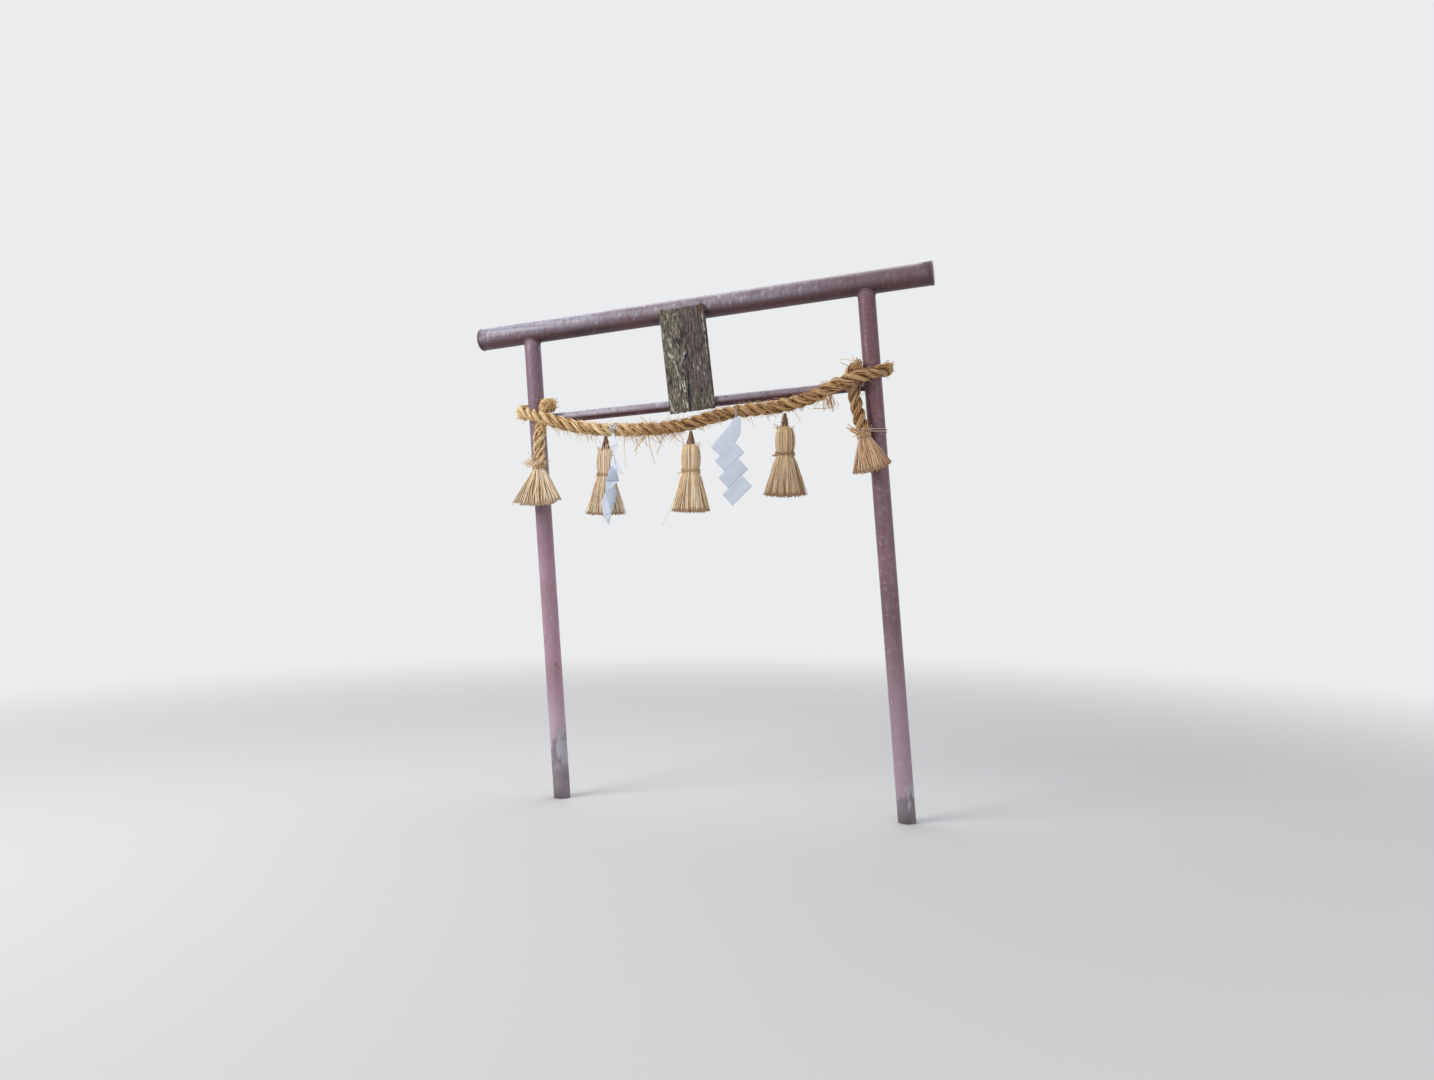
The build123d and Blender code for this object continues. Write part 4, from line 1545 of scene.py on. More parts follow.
@dataclass
class EndFringe:
    """The fan of loose straw below one of the rope's tails, with its twine."""

    side: str
    top: Point
    above: Point
    foot: Point
    half_width: float
    half_depth: float
    stub_aim: Point
    straws: int = 330
    tail_radius: float = 0.0262
    twine: float = 0.0052
    stubs: int = 24
    tufts: int = 40
    half: float = 0.0028
    tint: Point = (0.90, 0.87, 0.83)
    tones: Tones = ((0.44, 0.27, 0.145), (0.88, 0.67, 0.435), (1.0, 0.90, 0.70))

    @property
    def down(self) -> Rows:
        """The direction down the tail."""
        return unit(np.array(self.top) - np.array(self.above))

    @property
    def level(self) -> Rows:
        """The direction across the tail, in the gate's plane."""
        return unit(np.array((1.0, 0.0, -self.down[0] / self.down[2])))

    @property
    def out(self) -> Rows:
        """The direction square to both."""
        return np.cross(self.down, self.level)

    def _rim(self, count: int, rng: Random) -> Rows:
        """Random directions out of the tail."""
        return around(self.level, self.out, rng.uniform(0.0, 2 * math.pi, count))

    def _bundle(self) -> StrawBundle:
        """The fan of straws.

        Returns:
            Its bundle.
        """
        top = np.array(self.top)
        share = np.linspace(0.0, 1.0, 24)[:, None]
        fan = np.maximum(0.0, (share - 0.10) / 0.90)
        spread = fan**0.86
        start = np.minimum(1.0, share / 0.1)
        bound = top * (1 - start) + (top + self.down * 0.012) * start
        centres = bound * (1 - fan) + np.array(self.foot) * fan
        tail = self.tail_radius * 0.96 * (1 - spread)
        widths = self.level * (tail + self.half_width * spread)
        depths = self.out * (tail + self.half_depth * spread)
        return StrawBundle(
            centres, widths, depths, self.straws, self.half, inner=0.42, steps=14, crowd=1.0, end_spread=0.04,
            splay=0.11, spread_from=0.1, hem=1.0, core=0.70, core_shade_tone=0.35,
        )

    def build(self) -> None:
        """Builds the fringe and the twine above it."""
        rng = np.random.default_rng(70 + len(self.side))
        top, down, aim = np.array(self.top), self.down, np.array(self.stub_aim)
        heap = MeshHeap()
        self._bundle().add(heap, rng)
        count = self.stubs
        rim = unit(self._rim(count, rng) + aim * 0.9)
        roots = top + rim * self.tail_radius * 0.9 - down * rng.uniform(-0.006, 0.012, (count, 1))
        aims = aim + rng.normal(0.0, 0.15, (count, 3))
        bent_straws(heap, roots, aims, rng.uniform(0.035, 0.062, count), rng, 0.0034, 0.05, (0.55, 1.0))
        count = self.tufts
        rim = self._rim(count, rng)
        roots = top + rim * self.tail_radius - down * rng.uniform(0.004, 0.02, (count, 1))
        aims = rim - down * 0.9 + rng.normal(0.0, 0.3, (count, 3))
        bent_straws(heap, roots, aims, rng.uniform(0.012, 0.032, count), rng, 0.0016, 0.05)
        finish = Straw(f"fringe_straw_{self.side}", *tinted(self.tones, self.tint), cut=0.3)
        heap.seat(f"fringe_{self.side}", finish.make(), "loose_straw", f"end_fringe_{self.side}")
        self._tie(rng)

    def _tie(self, rng: Random) -> None:
        """Builds the turns of twine, with their knot.

        Args:
            rng: Draws the twine's tones.
        """
        top, down, level, out = np.array(self.top), self.down, self.level, self.out
        reach = self.tail_radius + self.twine * 0.5
        lines = [wound(top, level * reach, out * reach, down * -0.0125, 3.4)]
        knot = top + out * reach * math.copysign(1.05, -out[1])
        for tilt in (0.0, 1.1):
            across = level * math.cos(tilt) * 0.010 + down * math.sin(tilt) * 0.008
            lines.append(wound(knot, across, down * 0.006, (0.0, -0.006, 0.0), 1.3))
        heap = MeshHeap()
        for points in lines:
            LaidCord(self.twine).add(heap, points, rng)
        heap.seat(f"fringe_tie_{self.side}", Twine().make(), "brown_twine", f"end_tie_{self.side}")


@dataclass
class PostTwine:
    """Twine that holds the right tail to its post: turns pulled tight round both."""

    gate: GateFrame
    tail_top: Point
    tail_next: Point
    tail_radius: float = 0.022
    thickness: float = 0.0050
    offsets: Span = (0.0262, 0.0166)
    sway: float = 0.0012

    def _pulled(self, centres: list[Rows], radii: list[float]) -> Rows:
        """The closed outline that a tight line makes round two circles.

        Args:
            centres: The circles' middles, in a plane.
            radii: Their radii.

        Returns:
            The outline's points.
        """
        ring = around(*np.eye(2), np.linspace(0.0, 2 * math.pi, 96, endpoint=False))
        cloud = np.concatenate([centre + ring * radius for centre, radius in zip(centres, radii)])
        order = cloud[np.lexsort((cloud[:, 1], cloud[:, 0]))]
        outline: list[Rows] = []
        for points in (order, order[::-1]):
            kept: list[Rows] = []
            for point in points:
                while len(kept) > 1:
                    a, b = kept[-1] - kept[-2], point - kept[-2]
                    if a[0] * b[1] - a[1] * b[0] > 0:
                        break
                    kept.pop()
                kept.append(point)
            outline += kept[:-1]
        return np.array(outline)

    def build(self) -> None:
        """Builds the turns of twine."""
        gate, rng = self.gate, np.random.default_rng(9)
        top = np.array(self.tail_top)
        run = unit(np.array(self.tail_next) - top)
        lean = float(run @ gate.up)
        back = np.array((0.0, 1.0, 0.0))
        radii = [self.tail_radius / lean + self.thickness / 2, gate.post_radius + self.thickness / 2]
        heap = MeshHeap()
        for number, offset in enumerate(self.offsets):
            centre = top + run * offset / lean
            post = gate.point(gate.post_spacing, float(gate.up @ centre)) - centre
            outline = self._pulled([np.zeros(2), np.array((post @ gate.along, post @ back))], radii)
            outline = np.concatenate([outline, outline[:1]])
            sway = self.sway * np.sin(np.linspace(0, 2 * math.pi, len(outline)) + number)
            points = centre + outline[:, :1] * gate.along + outline[:, 1:] * back + gate.up * sway[:, None]
            LaidCord(self.thickness).add(heap, points, rng)
        finish = Twine("twine_pale", (0.50, 0.34, 0.27), (0.90, 0.72, 0.62))
        heap.seat("tail_twine", finish.make(), "brown_twine", "post_twine")


@dataclass
class FoldedPaper:
    """A folded paper of flat facets, each a thin sheet that is bent a little."""

    number: int
    plane_y: float
    facets: tuple[tuple[Point, ...], ...]
    facet_shades: tuple[float, ...]
    thickness: float = 0.0006
    cell: float = 0.005
    curl: float = 0.0022
    # painted shade added near the folds, and how far it reaches
    fold_shade: float = 0.06
    fold_shade_width: float = 0.0022

    def build(self) -> None:
        """Builds the facets as one piece, turned into a sheet of some thickness."""
        points: list[Point] = []
        faces: list[list[int]] = []
        fold_and_facet_shades: list[float] = []
        for number, facet in enumerate(self.facets):
            self._facet(number, facet, points, faces, fold_and_facet_shades)
        made = meshed(f"shide_{self.number}_paper", points, faces, {"fold_and_facet_shade": fold_and_facet_shades}, Paper().make())
        thick = made.modifiers.new("sheet", "SOLIDIFY")
        thick.thickness = self.thickness
        thick.offset = 0.0
        bpy.context.view_layer.update()
        result = bpy.data.meshes.new_from_object(made.evaluated_get(bpy.context.evaluated_depsgraph_get()))
        flat = made.data
        made.modifiers.clear()
        made.data = result
        bpy.data.meshes.remove(flat)
        seated(made, "white_paper", f"shide_paper_{self.number}", body=f"shide_{self.number}")

    def _facet(self, number: int, facet: tuple[Point, ...], points: list, faces: list, fold_and_facet_shades: list) -> None:
        """Adds one facet as a fine grid.

        Args:
            number: Which facet it is.
            facet: Its corners as x, z and distance to the front: four in a ring, or more as left and
                right by turns.
            points: Where its points go.
            faces: Where its faces go.
            fold_and_facet_shades: Where its painted shade goes: the facet's own, and more near its folds.
        """
        corners = [np.array((x, self.plane_y - forward, z)) for x, z, forward in facet]
        if len(corners) == 4:
            corners[2:] = corners[:1:-1]
        left, right = np.array(corners[::2]), np.array(corners[1::2])
        knots = np.linspace(0.0, 1.0, len(left))
        longest = float(np.max(np.linalg.norm(right - left, axis=1)))
        across = max(2, round(longest / self.cell))
        down = max(2, round(float(np.linalg.norm(left[-1] - left[0])) / self.cell))
        down = max(down, 12 * (len(left) - 1)) if len(left) > 2 else down
        normal = unit(np.cross(right[0] - left[0], left[-1] - left[0]))
        way = 1 if number % 2 else -1
        faces.extend(grid_faces(down + 1, across + 1, len(points)))
        for row in range(down + 1):
            v = row / down
            near, far = read_between(knots, left, v), read_between(knots, right, v)
            edge = min(v, 1 - v) * down * self.cell
            # painted shade: each facet's own shade, and more near its edges
            fold_and_facet_shade = self.facet_shades[number] + self.fold_shade * math.exp(-edge / self.fold_shade_width)
            for column in range(across + 1):
                u = column / across
                spot = near * (1 - u) + far * u
                wave = noise.noise(Vector(spot * 22.0) + Vector((number * 3.1, 0.0, 0.0)))
                bow = self.curl * (math.sin(math.pi * u) * math.sin(math.pi * v) * way + wave * 0.6)
                points.append(tuple(spot + normal * bow))
                fold_and_facet_shades.append(fold_and_facet_shade)


@dataclass
class Shide:
    """A folded paper with the white cord that carries it under the rope."""

    place: Point
    rope: Line
    paper: FoldedPaper
    string_length: float
    ears: tuple[tuple[Point, Point], ...] = ()
    rope_radius: float = 0.0292
    loop_radius: float = 0.0015
    string: float = 0.0034
    knot: float = 0.0026
    lowest_rope: float = 1.62

    def build(self) -> None:
        """Builds the loop round the rope, the string and the paper."""
        number = self.paper.number
        rng = np.random.default_rng(30 + number)
        material = WhiteString(f"string_white_{number}").make()
        x, _, z = self.rope.points.T
        mark = self.rope.marks[np.argmin(np.abs(x - self.place[0]) + 10 * (z < self.lowest_rope))]
        centre, _, side, rise = self.rope.at(mark)
        reach = self.rope_radius + self.loop_radius * 0.8
        heap = MeshHeap()
        for tilt in (-0.0016, 0.0016):
            ring = wound(centre + (tilt, 0.0, 0.0), side * reach, rise * reach, (tilt * 2, 0.0, 0.0), 1.02)
            LaidCord(self.loop_radius * 1.9, 0.007, 0.0015).add(heap, ring, rng)
        for root, tip in self.ears:
            self._ear(heap, np.array(root), np.array(tip))
        body = f"shide_{number}"
        heap.seat(f"{body}_loop", material, "white_string", f"shide_loop_{number}")
        top = np.array(self.place)
        foot = top - (0.0, 0.0, self.string_length)
        steps = np.linspace(0.0, 1.0, 12)[:, None]
        hanging = top * (1 - steps) + foot * steps + np.sin(steps * 5.0) * (0.0006, 0.0, 0.0)
        middle = foot + (0.0, -0.002, 0.002)
        knot = wound(middle, (0.0042, 0.0, 0.001), (0.0, 0.0, 0.0045), (0.0, -0.003, 0.0), 1.5)
        heap = MeshHeap()
        LaidCord(self.string, 0.007, 0.0015).add(heap, hanging, rng)
        LaidCord(self.knot, 0.006, 0.0012).add(heap, knot, rng)
        heap.seat(f"{body}_string", material, "white_string", f"shide_string_{number}", body=body)
        self.paper.build()

    @staticmethod
    def _ear(heap: MeshHeap, root: Rows, tip: Rows) -> None:
        """Adds one flat end of the white knot.

        Args:
            heap: Where it goes.
            root: Where it leaves the knot.
            tip: Where it ends.
        """
        steps = np.linspace(0.0, 1.0, 9)[:, None]
        bend = np.array((0.0, -0.006, 0.0)) * np.sin(steps * math.pi)
        half = np.interp(steps[:, 0], [0.0, 0.5, 0.85, 1.0], [0.003, 0.0075, 0.006, 0.002])
        heap.tube(root * (1 - steps) + tip * steps + bend, (0.9, 0.3, 0.2), half, half * 0.14, 0.9, 6)


@dataclass(frozen=True)
class BoardPlace:
    """Where the board stands: the middle of its back, and its directions across, up and out."""

    origin: Rows
    across: Rows
    upward: Rows
    normal: Rows

    def point(self, across: float, up: float, out: float) -> Rows:
        """A point from the board's own coordinates."""
        return self.origin + self.across * across + self.upward * up + self.normal * out


@dataclass
class WeatheredBoard:
    """The bare board that leans on both beams, with its rusty clips."""

    gate: GateFrame
    width: float = 0.212
    length: float = 0.468
    thickness: float = 0.018
    stands_at: float = 0.773
    rise: float = 0.001
    turn: float = math.radians(1.3)
    seat_gap: float = 0.0003
    cell: float = 0.0025
    clip_thickness: float = 0.002
    clip_half: float = 0.005
    clip_inset: float = 0.014
    screw_radius: float = 0.0032
    crack: tuple[Span, ...] = (
        (-0.003, -0.050), (-0.001, -0.069), (-0.006, -0.120), (-0.008, -0.175), (-0.011, -0.234),
    )
    peeled: tuple[Patch, ...] = (
        (-0.067, 0.083, 0.0045, 0.032, 8.0), (-0.075, 0.028, 0.0070, 0.014, 20.0),
        (-0.058, -0.004, 0.0040, 0.030, 12.0), (-0.050, -0.046, 0.0040, 0.034, 8.0),
        (-0.043, -0.110, 0.0035, 0.028, 6.0), (-0.030, -0.120, 0.0040, 0.034, 9.0),
        (-0.021, -0.112, 0.0055, 0.032, 3.0), (-0.020, -0.208, 0.0065, 0.028, 10.0),
        (-0.036, -0.190, 0.0030, 0.024, 4.0), (-0.098, -0.182, 0.0055, 0.028, 12.0),
        (-0.088, -0.215, 0.0060, 0.018, 8.0), (-0.075, -0.228, 0.0160, 0.004, 0.0),
        (-0.006, 0.028, 0.0040, 0.012, -28.0), (-0.016, 0.008, 0.0030, 0.009, -24.0),
        (-0.026, -0.006, 0.0030, 0.012, -20.0), (0.062, -0.018, 0.0022, 0.020, 2.0),
        (0.048, -0.052, 0.0020, 0.024, 0.0), (0.030, -0.040, 0.0018, 0.018, 4.0),
        (0.075, -0.070, 0.0020, 0.022, 0.0), (0.052, -0.205, 0.0024, 0.016, 6.0),
        (0.099, -0.205, 0.0040, 0.014, 0.0), (0.085, 0.145, 0.0022, 0.042, 0.0),
        (0.097, 0.060, 0.0018, 0.060, 0.0), (-0.100, 0.125, 0.0040, 0.020, 4.0),
        (0.096, 0.150, 0.0030, 0.060, 2.0),
    )
    stains: tuple[Patch, ...] = (
        (-0.002, 0.118, 0.0170, 0.026, 15.0), (-0.016, 0.092, 0.0150, 0.020, -40.0),
        (-0.038, 0.092, 0.0100, 0.013, 0.0), (-0.022, 0.068, 0.0090, 0.018, 10.0),
        (0.014, 0.072, 0.0060, 0.014, 20.0), (-0.004, 0.010, 0.0040, 0.026, -28.0),
        (-0.022, -0.030, 0.0050, 0.020, -30.0), (-0.030, -0.056, 0.0060, 0.010, 10.0),
        (-0.006, -0.030, 0.0050, 0.030, 0.0), (-0.034, -0.086, 0.0030, 0.020, 10.0),
        (0.036, -0.130, 0.0160, 0.004, 12.0), (-0.014, -0.176, 0.0030, 0.020, 4.0),
        # the first patch on this line darkens the board along the crack
        (0.018, -0.080, 0.0026, 0.030, 0.0), (-0.002, -0.150, 0.0090, 0.066, 3.0),
        (0.006, 0.030, 0.0070, 0.040, 6.0), (0.002, -0.060, 0.0080, 0.040, -6.0),
        (-0.003, -0.205, 0.0065, 0.030, 2.0), (0.004, 0.045, 0.0045, 0.030, 12.0),
        (-0.040, 0.060, 0.0035, 0.022, 10.0), (0.030, 0.020, 0.0026, 0.036, 2.0),
        (0.062, 0.075, 0.0022, 0.044, 0.0), (-0.082, -0.060, 0.0022, 0.040, 3.0),
    )

    def place(self) -> BoardPlace:
        """Leans the board on the fronts of both beams.

        Returns:
            Its place.
        """
        gate = self.gate
        drop = gate.nuki_heights[1] - gate.nuki_heights[0]
        nuki_up = gate.nuki_heights[0] + drop * self.stands_at / gate.post_spacing
        pitch = math.asin((gate.kasagi_radius - gate.nuki_radius) / (gate.kasagi_height - nuki_up))
        normal = gate.front * math.cos(pitch) - gate.up * math.sin(pitch)
        upward = gate.up * math.cos(pitch) + gate.front * math.sin(pitch)
        origin = gate.point(self.stands_at, gate.kasagi_height)
        origin = origin + normal * (gate.kasagi_radius + self.seat_gap)
        origin = origin + upward * (self.rise - self.length / 2)
        across = gate.along * math.cos(self.turn) + upward * math.sin(self.turn)
        return BoardPlace(origin, across, np.cross(normal, across), normal)

    def _lines(self, half: float, fine: Span) -> Rows:
        """Grid lines from edge to edge.

        Args:
            half: Half the way between the edges.
            fine: A stretch where the lines lie closer.

        Returns:
            Their places.
        """
        steps = [*np.arange(-half, half, self.cell), half, *np.arange(*fine, 0.001)]
        for inset in (0.0008, 0.0018):
            steps += [-half + inset, half - inset]
        kept = [-half]
        for step in sorted(steps):
            if step - kept[-1] > 0.0007:
                kept.append(step)
        kept[-1] = half
        return np.array(kept)

    def _front(self, u: float, v: float) -> tuple[float, dict[str, float]]:
        """How far the worn front stands out at one place, and what the wood carries there.

        Args:
            u: Place across the board from its middle.
            v: Place up the board from its middle.

        Returns:
            The height over the flat face, and the marks.
        """
        grain, broad = roughness_at(u * 310.0, v * 7.0), roughness_at(u * 90.0, v * 4.0, 5.0)
        groove, small = roughness_at(u * 210.0, v * 17.0, 7.0), roughness_at(u * 170.0, v * 60.0, 4.0)
        left = 1.0 / (1.0 + math.exp((u + 0.012 + 0.02 * roughness_at(0.0, v * 16.0, 9.0)) / 0.006))
        left = max(left, 0.7 * float(eased(-0.12, -0.20, v + 0.02 * small)))
        flake = self._patches(self.peeled, u, v, small)
        stain = self._patches(self.stains, u, v, small)
        crack_u = float(np.interp(v, *np.array(self.crack[::-1]).T[::-1]))
        crack_u += 0.0012 * roughness_at(0.0, v * 60.0, 3.0)
        open_share = float(eased(-0.045, -0.075, v))
        gap = open_share * math.exp(-(((u - crack_u) / (0.0011 + 0.0016 * open_share)) ** 2))
        height = 0.0003 * grain + 0.0005 * broad + 0.0005 * groove + 0.0008 * flake
        height -= 0.0042 * gap + 0.0007 * stain
        # painted shade: the open crack is darkened, besides the stains
        dark = min(1.0, 0.9 * gap + 0.85 * stain)
        rust = math.exp(-(((u - 0.089) / 0.006) ** 2) - ((v - 0.205) / 0.024) ** 2)
        return height, {"left_half": left, "flake": flake, "dark": dark, "rust": rust}

    @staticmethod
    def _patches(patches: tuple, u: float, v: float, wander: float) -> float:
        """The strongest of some long patches at one place, from 0 to 1.

        Args:
            patches: Each as middle across and up, half width, half length and tilt in degrees.
            u: Place across the board.
            v: Place up the board.
            wander: Noise that frays their edges.

        Returns:
            The mask.
        """
        strongest = 0.0
        for mid_u, mid_v, half_u, half_v, tilt in patches:
            turn = math.radians(tilt)
            x, y = u - mid_u, v - mid_v
            across = (x * math.cos(turn) + y * math.sin(turn)) / half_u
            along = (y * math.cos(turn) - x * math.sin(turn)) / half_v
            reach = across * across + along * along
            if reach < 4.0:
                strongest = max(strongest, float(eased(1.20, 0.50, math.sqrt(reach) - 0.85 * wander)))
        return strongest

    def build(self) -> None:
        """Builds the board and both clips."""
        place = self.place()
        columns, rows = self._lines(self.width / 2, (-0.015, 0.006)), self._lines(self.length / 2, (0.0, 0.0))
        points: list[Point] = []
        carried: dict[str, list] = {key: [] for key in ("sheet", "left_half", "flake", "dark", "rust")}
        for front in (True, False):
            for v in rows:
                for u in columns:
                    self._point(u, v, front, place, points, carried)
        wide, tall = len(columns), len(rows)
        back = wide * tall
        faces = grid_faces(tall, wide) + [quad[::-1] for quad in grid_faces(tall, wide, back)]
        border = [*range(wide), *range(2 * wide - 1, back, wide)]
        border += [*range(back - 2, back - wide - 1, -1), *range(back - 2 * wide, 0, -wide)]
        for here, there in zip(border, border[1:] + border[:1]):
            faces.append([there, here, back + here, back + there])
        seated(meshed("board", points, faces, carried, BoardWood().make()), "board_wood", "plaque_board")
        for side, way, tone in (("left", -1, (0.13, 0.085, 0.06)), ("right", 1, (0.17, 0.052, 0.026))):
            self._clip(side, way, place, RustySteel(f"clip_rust_{side}", tone))

    def _point(self, u: float, v: float, front: bool, place: BoardPlace, points: list, carried: dict) -> None:
        """Adds one point of the front or the back.

        Args:
            u: Place across.
            v: Place up.
            front: Whether it is on the front.
            place: The board's place.
            points: Where the point goes.
            carried: Where its place on the board and what the wood carries there go.
        """
        height, marks = self._front(u, v)
        ragged = 0.5 + 0.5 * roughness_at(u * 60.0, 3.0) + 0.3 * roughness_at(u * 210.0, 8.0)
        shift_v = 0.0075 * max(0.0, ragged) * float(eased(-0.19, -0.234, v))
        shift_v -= 0.0022 * (0.5 + 0.5 * roughness_at(u * 45.0, 11.0)) * float(eased(0.20, 0.234, v))
        edge_u, edge_v = self.width / 2 - abs(u), self.length / 2 - abs(v)
        worn = 0.0014 * (0.5 + 0.5 * roughness_at(0.0, v * 35.0, 20.0 + math.copysign(3.0, u)))
        shift_u = -math.copysign(worn * float(eased(0.02, 0.0, edge_u)), u)
        rounding = 0.0016 * (math.exp(-edge_u / 0.0011) + math.exp(-edge_v / 0.0011))
        depth = self.thickness - 0.0006 + height - rounding if front else rounding * 0.7
        points.append(tuple(place.point(u + shift_u, v + shift_v, depth)))
        carried["sheet"].append((u, v, depth))
        for key, value in marks.items():
            back_share = 0.4 if key == "left_half" else 0.0
            carried[key].append(value if front else value * back_share)

    def _clip(self, side: str, way: int, place: BoardPlace, finish: RustySteel) -> None:
        """Builds one clip: a narrow strap over the top edge, with its screw.

        Args:
            side: The clip's side in its name.
            way: -1 for the left, 1 for the right.
            place: The board's place.
            finish: Its finish.
        """
        top, front, thick = self.length / 2, self.thickness, self.clip_thickness
        middle = way * (self.width / 2 - self.clip_inset)
        bends = [(top - 0.0240, front + thick / 2), (top - 0.0232, front + thick / 2)]
        bends += [(top - 0.0100, front + thick / 2), (top + 0.0002, front + thick / 2)]
        bends += [(top + 0.0008, front + thick / 2 - 0.0002), (top + 0.0010, front + thick / 2 - 0.0008)]
        bends += [(top + thick / 2, front * 0.5), (top + thick / 2, -0.001)]
        wide, narrow = self.clip_half, self.clip_half - 0.0006
        outline = [(wide, -0.6), (wide, 0.6), (narrow, 1.0), (-narrow, 1.0)]
        outline += [(-wide, 0.6), (-wide, -0.6), (-narrow, -1.0), (narrow, -1.0)]
        rings = []
        for index, (v, w) in enumerate(bends):
            before, after = bends[max(0, index - 1)], bends[min(len(bends) - 1, index + 1)]
            run = unit(np.array((after[0] - before[0], after[1] - before[1])))
            out = place.upward * run[1] + place.normal * run[0]
            centre = place.point(middle, v, w)
            rings.append([centre + place.across * x + out * h * thick / 2 for x, h in outline])
        heap = MeshHeap()
        heap.skin(np.array(rings))
        screw = place.point(middle, top - 0.016, front + thick)
        ring = around(place.across, place.upward, even_angles(20))
        dome = []
        for share, depth in ((1.0, -0.0003), (1.0, 0.0004), (0.86, 0.0009), (0.5, 0.0012), (0.08, 0.0013)):
            dome.append(screw + ring * self.screw_radius * share + place.normal * depth)
        heap.skin(np.array(dome))
        made = heap.build(f"board_clip_{side}", finish.make(), smooth=False)
        seated(made, "rusty_steel", f"plaque_clip_{side}")


@dataclass(frozen=True)
class Studio:
    """The pale floor, the soft lights and the camera at the photograph's viewing angle."""

    camera_place: Point = (2.0649, -4.4165, 1.1316)
    camera_turn: Point = (math.radians(90.77), 0.0, math.radians(16.56))
    lens: float = 25.91
    sensor: float = 36.0
    backdrop: Point = (0.83, 0.84, 0.85)
    floor_tone: Point = (0.645, 0.65, 0.655)
    floor_middle: Point = (0.65, 0.0, 0.0)
    floor_rings: tuple[float, ...] = (0.001, 1.5, 3.0, 6.0, 12.0, 24.0)
    floor_fade: Span = (1.6, 7.5)
    aim: Point = (0.65, 0.0, 1.3)
    ambient: float = 0.44

    def camera(self) -> None:
        """Places the camera."""
        data = bpy.data.cameras.new("camera")
        data.lens = self.lens
        data.sensor_width = self.sensor
        made = linked("camera", data)
        made.location = self.camera_place
        made.rotation_euler = self.camera_turn
        bpy.context.scene.camera = made

    def _light(self, name: str, place: Point, size: float, power: float, colour: Point) -> None:
        """Adds one soft light that points at the gate.

        Args:
            name: Its name.
            place: Where it stands.
            size: Its side.
            power: Its power in watts.
            colour: Its colour.
        """
        data = bpy.data.lights.new(name, "AREA")
        data.size = size
        data.energy = power
        data.color = colour
        made = linked(name, data)
        made.location = place
        made.rotation_euler = (Vector(self.aim) - Vector(place)).to_track_quat("-Z", "Y").to_euler()

    def lights(self) -> None:
        """Lights the gate softly from above and from its left."""
        self._light("key", (-3.2, -3.6, 4.6), 3.0, 232.0, (1.0, 0.99, 0.97))
        self._light("top", (0.2, 1.6, 5.2), 3.5, 112.0, (0.96, 0.98, 1.0))
        self._light("right", (4.6, -3.0, 2.6), 3.0, 26.0, (1.0, 1.0, 1.0))
        maker = NodeMaker("studio", bpy.data.worlds)
        path = maker.node("ShaderNodeLightPath").outputs
        seen = Shade(maker, path["Is Camera Ray"])
        for other in ("Is Glossy Ray", "Is Transmission Ray"):
            seen = seen.most(Shade(maker, path[other]))
        tone = maker.mix((self.ambient, self.ambient, self.ambient * 1.03), self.backdrop, seen)
        shine = maker.node("ShaderNodeBackground", {}, {"Color": tone})
        maker.node("ShaderNodeOutputWorld", {}, {"Surface": shine.outputs[0]})
        bpy.context.scene.world = maker.owner

    def floor(self) -> None:
        """Adds the pale floor, which fades into the backdrop far from the gate."""
        ring = around(*np.eye(3)[:2], even_angles(96)[::-1])
        heap = MeshHeap()
        grid = [np.array(self.floor_middle) - (0.0, 0.0, 0.0004) + ring * reach for reach in self.floor_rings]
        heap.skin(np.array(grid), lids=False)
        maker = NodeMaker("floor_pale")
        spots = {0: maker.where(), 1: self.floor_middle}
        away = maker.value("ShaderNodeVectorMath", {"operation": "DISTANCE"}, spots, "Value")
        far = away.between(*self.floor_fade)
        pale = maker.node("ShaderNodeBsdfDiffuse", {}, {"Color": (*self.floor_tone, 1.0)}).outputs[0]
        clear = maker.node("ShaderNodeBsdfTransparent").outputs[0]
        both = maker.node("ShaderNodeMixShader", {}, {0: far, 1: pale, 2: clear}).outputs[0]
        maker.node("ShaderNodeOutputMaterial", {}, {"Surface": both})
        made = heap.build("floor", maker.owner)


def twisted_paper() -> FoldedPaper:
    """The twisted paper beside the first tassel.

    Returns:
        The paper, its facets as x, z and distance to the front.
    """
    facets = (
        ((0.288, 1.678, 0.000), (0.296, 1.678, 0.002), (0.321, 1.624, 0.012), (0.288, 1.613, 0.001)),
        ((0.288, 1.613, 0.001), (0.321, 1.624, 0.012), (0.299, 1.572, 0.000), (0.291, 1.572, -0.002)),
        ((0.291, 1.572, 0.001), (0.299, 1.572, 0.001), (0.316, 1.503, 0.013), (0.283, 1.532, 0.004)),
        ((0.299, 1.572, 0.001), (0.303, 1.566, 0.001), (0.348, 1.485, 0.010), (0.316, 1.503, 0.013)),
        ((0.283, 1.532, 0.004), (0.316, 1.503, 0.013), (0.321, 1.461, -0.003), (0.259, 1.457, 0.002)),
        ((0.259, 1.457, 0.002), (0.321, 1.461, -0.003), (0.303, 1.441, 0.006), (0.262, 1.412, 0.009)),
        ((0.262, 1.412, 0.009), (0.303, 1.441, 0.006), (0.312, 1.401, -0.003), (0.288, 1.316, 0.003)),
        ((0.235, 1.362, 0.000), (0.262, 1.412, 0.009), (0.288, 1.316, 0.003), (0.249, 1.298, 0.001)),
        ((0.249, 1.298, 0.001), (0.288, 1.316, 0.003), (0.275, 1.264, 0.000), (0.271, 1.263, 0.000)),
    )
    # the last numbers are each facet's painted shade
    return FoldedPaper(1, -0.1006, facets, (0.0, 0.12, 0.0, 0.0, 0.70, 0.42, 0.58, 0.28, 0.36))


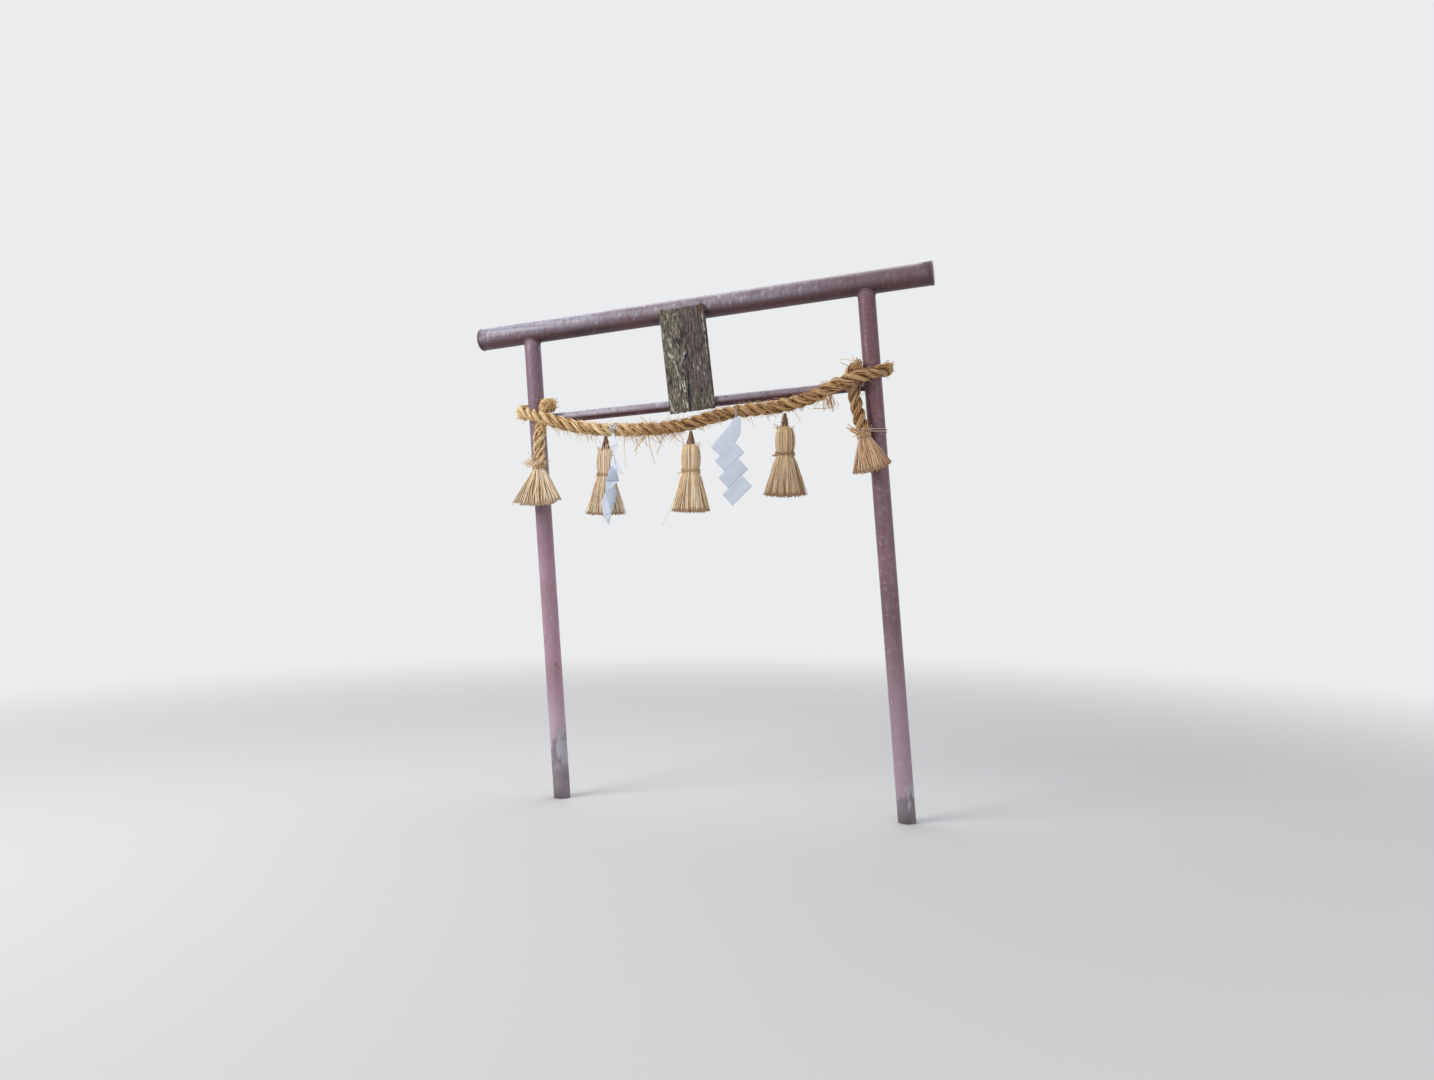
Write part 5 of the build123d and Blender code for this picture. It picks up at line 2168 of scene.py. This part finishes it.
def lightning_paper() -> FoldedPaper:
    """The paper folded like lightning: a strip that widens and narrows, and three panels.

    Returns:
        The paper, its facets as x, z and distance to the front.
    """
    strip = (
        (0.8626, 1.7293, 0.000), (0.8891, 1.7307, 0.000), (0.8330, 1.6880, 0.001), (0.8891, 1.6780, 0.000),
        (0.8000, 1.6500, 0.002), (0.8860, 1.6500, 0.000), (0.7530, 1.5985, 0.002), (0.8676, 1.6200, 0.001),
        (0.7946, 1.5600, 0.001), (0.8320, 1.5900, 0.001),
    )
    facets = [strip]
    turn, long_half, short_half = math.radians(43), 0.0605, 0.0335
    for panel in range(3):
        x, z = 0.838 + panel * 0.018, 1.555 - panel * 0.074
        front = 0.0022 * (panel + 1)
        corners = []
        for a, b, lift in ((-1, 1, 0.0), (1, 1, 0.003), (1, -1, 0.002), (-1, -1, -0.001)):
            corner_x = x + a * long_half * math.cos(turn) - b * short_half * math.sin(turn)
            corner_z = z + a * long_half * math.sin(turn) + b * short_half * math.cos(turn)
            corners.append((corner_x, corner_z, front + lift))
        facets.append(tuple(corners))
    # the last numbers are each facet's painted shade
    return FoldedPaper(2, -0.0984, tuple(facets), (0.34, 0.36, 0.42, 0.36))


def post_paints() -> tuple[PipePaint, PipePaint]:
    """The paints of the left and the right post.

    Returns:
        Both paints.
    """
    left = PipePaint(
        "paint_post_left", Grain.UP, (0.49, 0.305, 0.385), (0.335, 0.195, 0.245), upper_shade_from=(0.95, 1.45),
        worn=(0.50, 0.38, 0.46), worn_between=(0.28, 0.58), bare_below=0.24,
    )
    right = PipePaint(
        "paint_post_right", Grain.UP, (0.235, 0.130, 0.155), (0.145, 0.075, 0.088),
        upper=(0.155, 0.063, 0.079), upper_shade_from=(1.35, 1.85), worn_between=(0.18, 0.95),
        bare=(0.165, 0.155, 0.16), bare_below=0.10, bare_reach=0.06,
    )
    return left, right


def beam_paints() -> tuple[PipePaint, PipePaint]:
    """The darker paints of the upper and the lower beam.

    Returns:
        Both paints.
    """
    body, deep = (0.112, 0.036, 0.042), (0.050, 0.018, 0.021)
    shares = {"chalk_and_sheen_share": 0.95, "chip_share": 0.2}
    upper = PipePaint(
        "paint_kasagi", Grain.ALONG, body, deep, chalk=(0.262, 0.220, 0.268), chalk_and_sheen_facing=(-0.72, -0.02),
        chalk_and_sheen_to=(0.95, 1.35), pale_end=0.62, **shares,
    )
    lower = PipePaint(
        "paint_nuki", Grain.ALONG, body, deep, chalk=(0.41, 0.375, 0.45), chalk_and_sheen_facing=(-0.50, 0.02),
        chalk_and_sheen_to=(0.55, 1.0), pale_end=0.3, **shares,
    )
    return upper, lower


def tassels() -> tuple[Tassel, ...]:
    """The three tassels.

    Returns:
        The tassels, from the left.
    """
    first = (((0.2278, -0.060, 1.330), (0.2225, -0.062, 1.262)),)
    second = (
        ((0.622, -0.098, 1.470), (0.566, -0.106, 1.300)), ((0.700, -0.105, 1.480), (0.716, -0.112, 1.385)),
    )
    pale = (1.0, 1.03, 1.10)
    return (
        Tassel(1, (0.238, -0.053486, 1.668632), 0.184, 0.064, straws=340, tint=pale, strays=first),
        Tassel(2, (0.650, -0.066, 1.676378), 0.168, 0.150, strays=second),
        Tassel(3, (1.078, -0.06792, 1.739154), 0.184, 0.160, tint=(0.80, 0.74, 0.70)),
    )


def fringes(route: list[Point]) -> tuple[EndFringe, EndFringe]:
    """The fringes below both tails.

    Args:
        route: The rope's route.

    Returns:
        The left and the right one.
    """
    left = EndFringe("left", *route[:2], (-0.093, -0.086, 1.358), 0.125, 0.040, (-1.0, -0.35, 0.25))
    right = EndFringe(
        "right", *route[:-3:-1], (1.459, -0.080, 1.484), 0.083, 0.034, (-1.0, -0.2, 0.6), straws=380,
        stubs=14, half=0.0023, tint=(0.76, 0.64, 0.56),
    )
    return left, right


def papers(rope: Line) -> tuple[Shide, Shide]:
    """The two folded papers with their cords.

    Args:
        rope: The rope's centre line.

    Returns:
        The twisted one and the one like lightning.
    """
    ears = (
        ((0.289, -0.098, 1.686), (0.279, -0.104, 1.720)), ((0.292, -0.098, 1.686), (0.313, -0.106, 1.712)),
        ((0.291, -0.099, 1.690), (0.303, -0.108, 1.700)),
    )
    return (
        Shide((0.291, -0.100646, 1.683595), rope, twisted_paper(), 0.006, ears),
        Shide((0.867, -0.098393, 1.744461), rope, lightning_paper(), 0.017),
    )


def main() -> None:
    """Builds every piece of the gate in order."""
    logging.basicConfig(level=logging.INFO, format="%(message)s")
    bpy.context.scene.view_settings.view_transform = "Standard"
    gate = GateFrame()
    studio = Studio()
    studio.camera()
    straw_rope = StrawRope(gate)
    rope, route = straw_rope.build(), straw_rope.route()
    studio.floor()
    studio.lights()
    pipes = Pipework(gate)
    left_paint, right_paint = post_paints()
    pipes.post("post_left", 0.0, left_paint)
    pipes.post("post_right", gate.post_spacing, right_paint)
    upper_paint, lower_paint = beam_paints()
    pipes.kasagi(upper_paint)
    pipes.nuki(lower_paint)
    twine = PostTwine(gate, *route[:-3:-1])
    for piece in (WeatheredBoard(gate), *tassels(), *fringes(route), twine, *papers(rope)):
        piece.build()


if __name__ == "__main__":
    main()
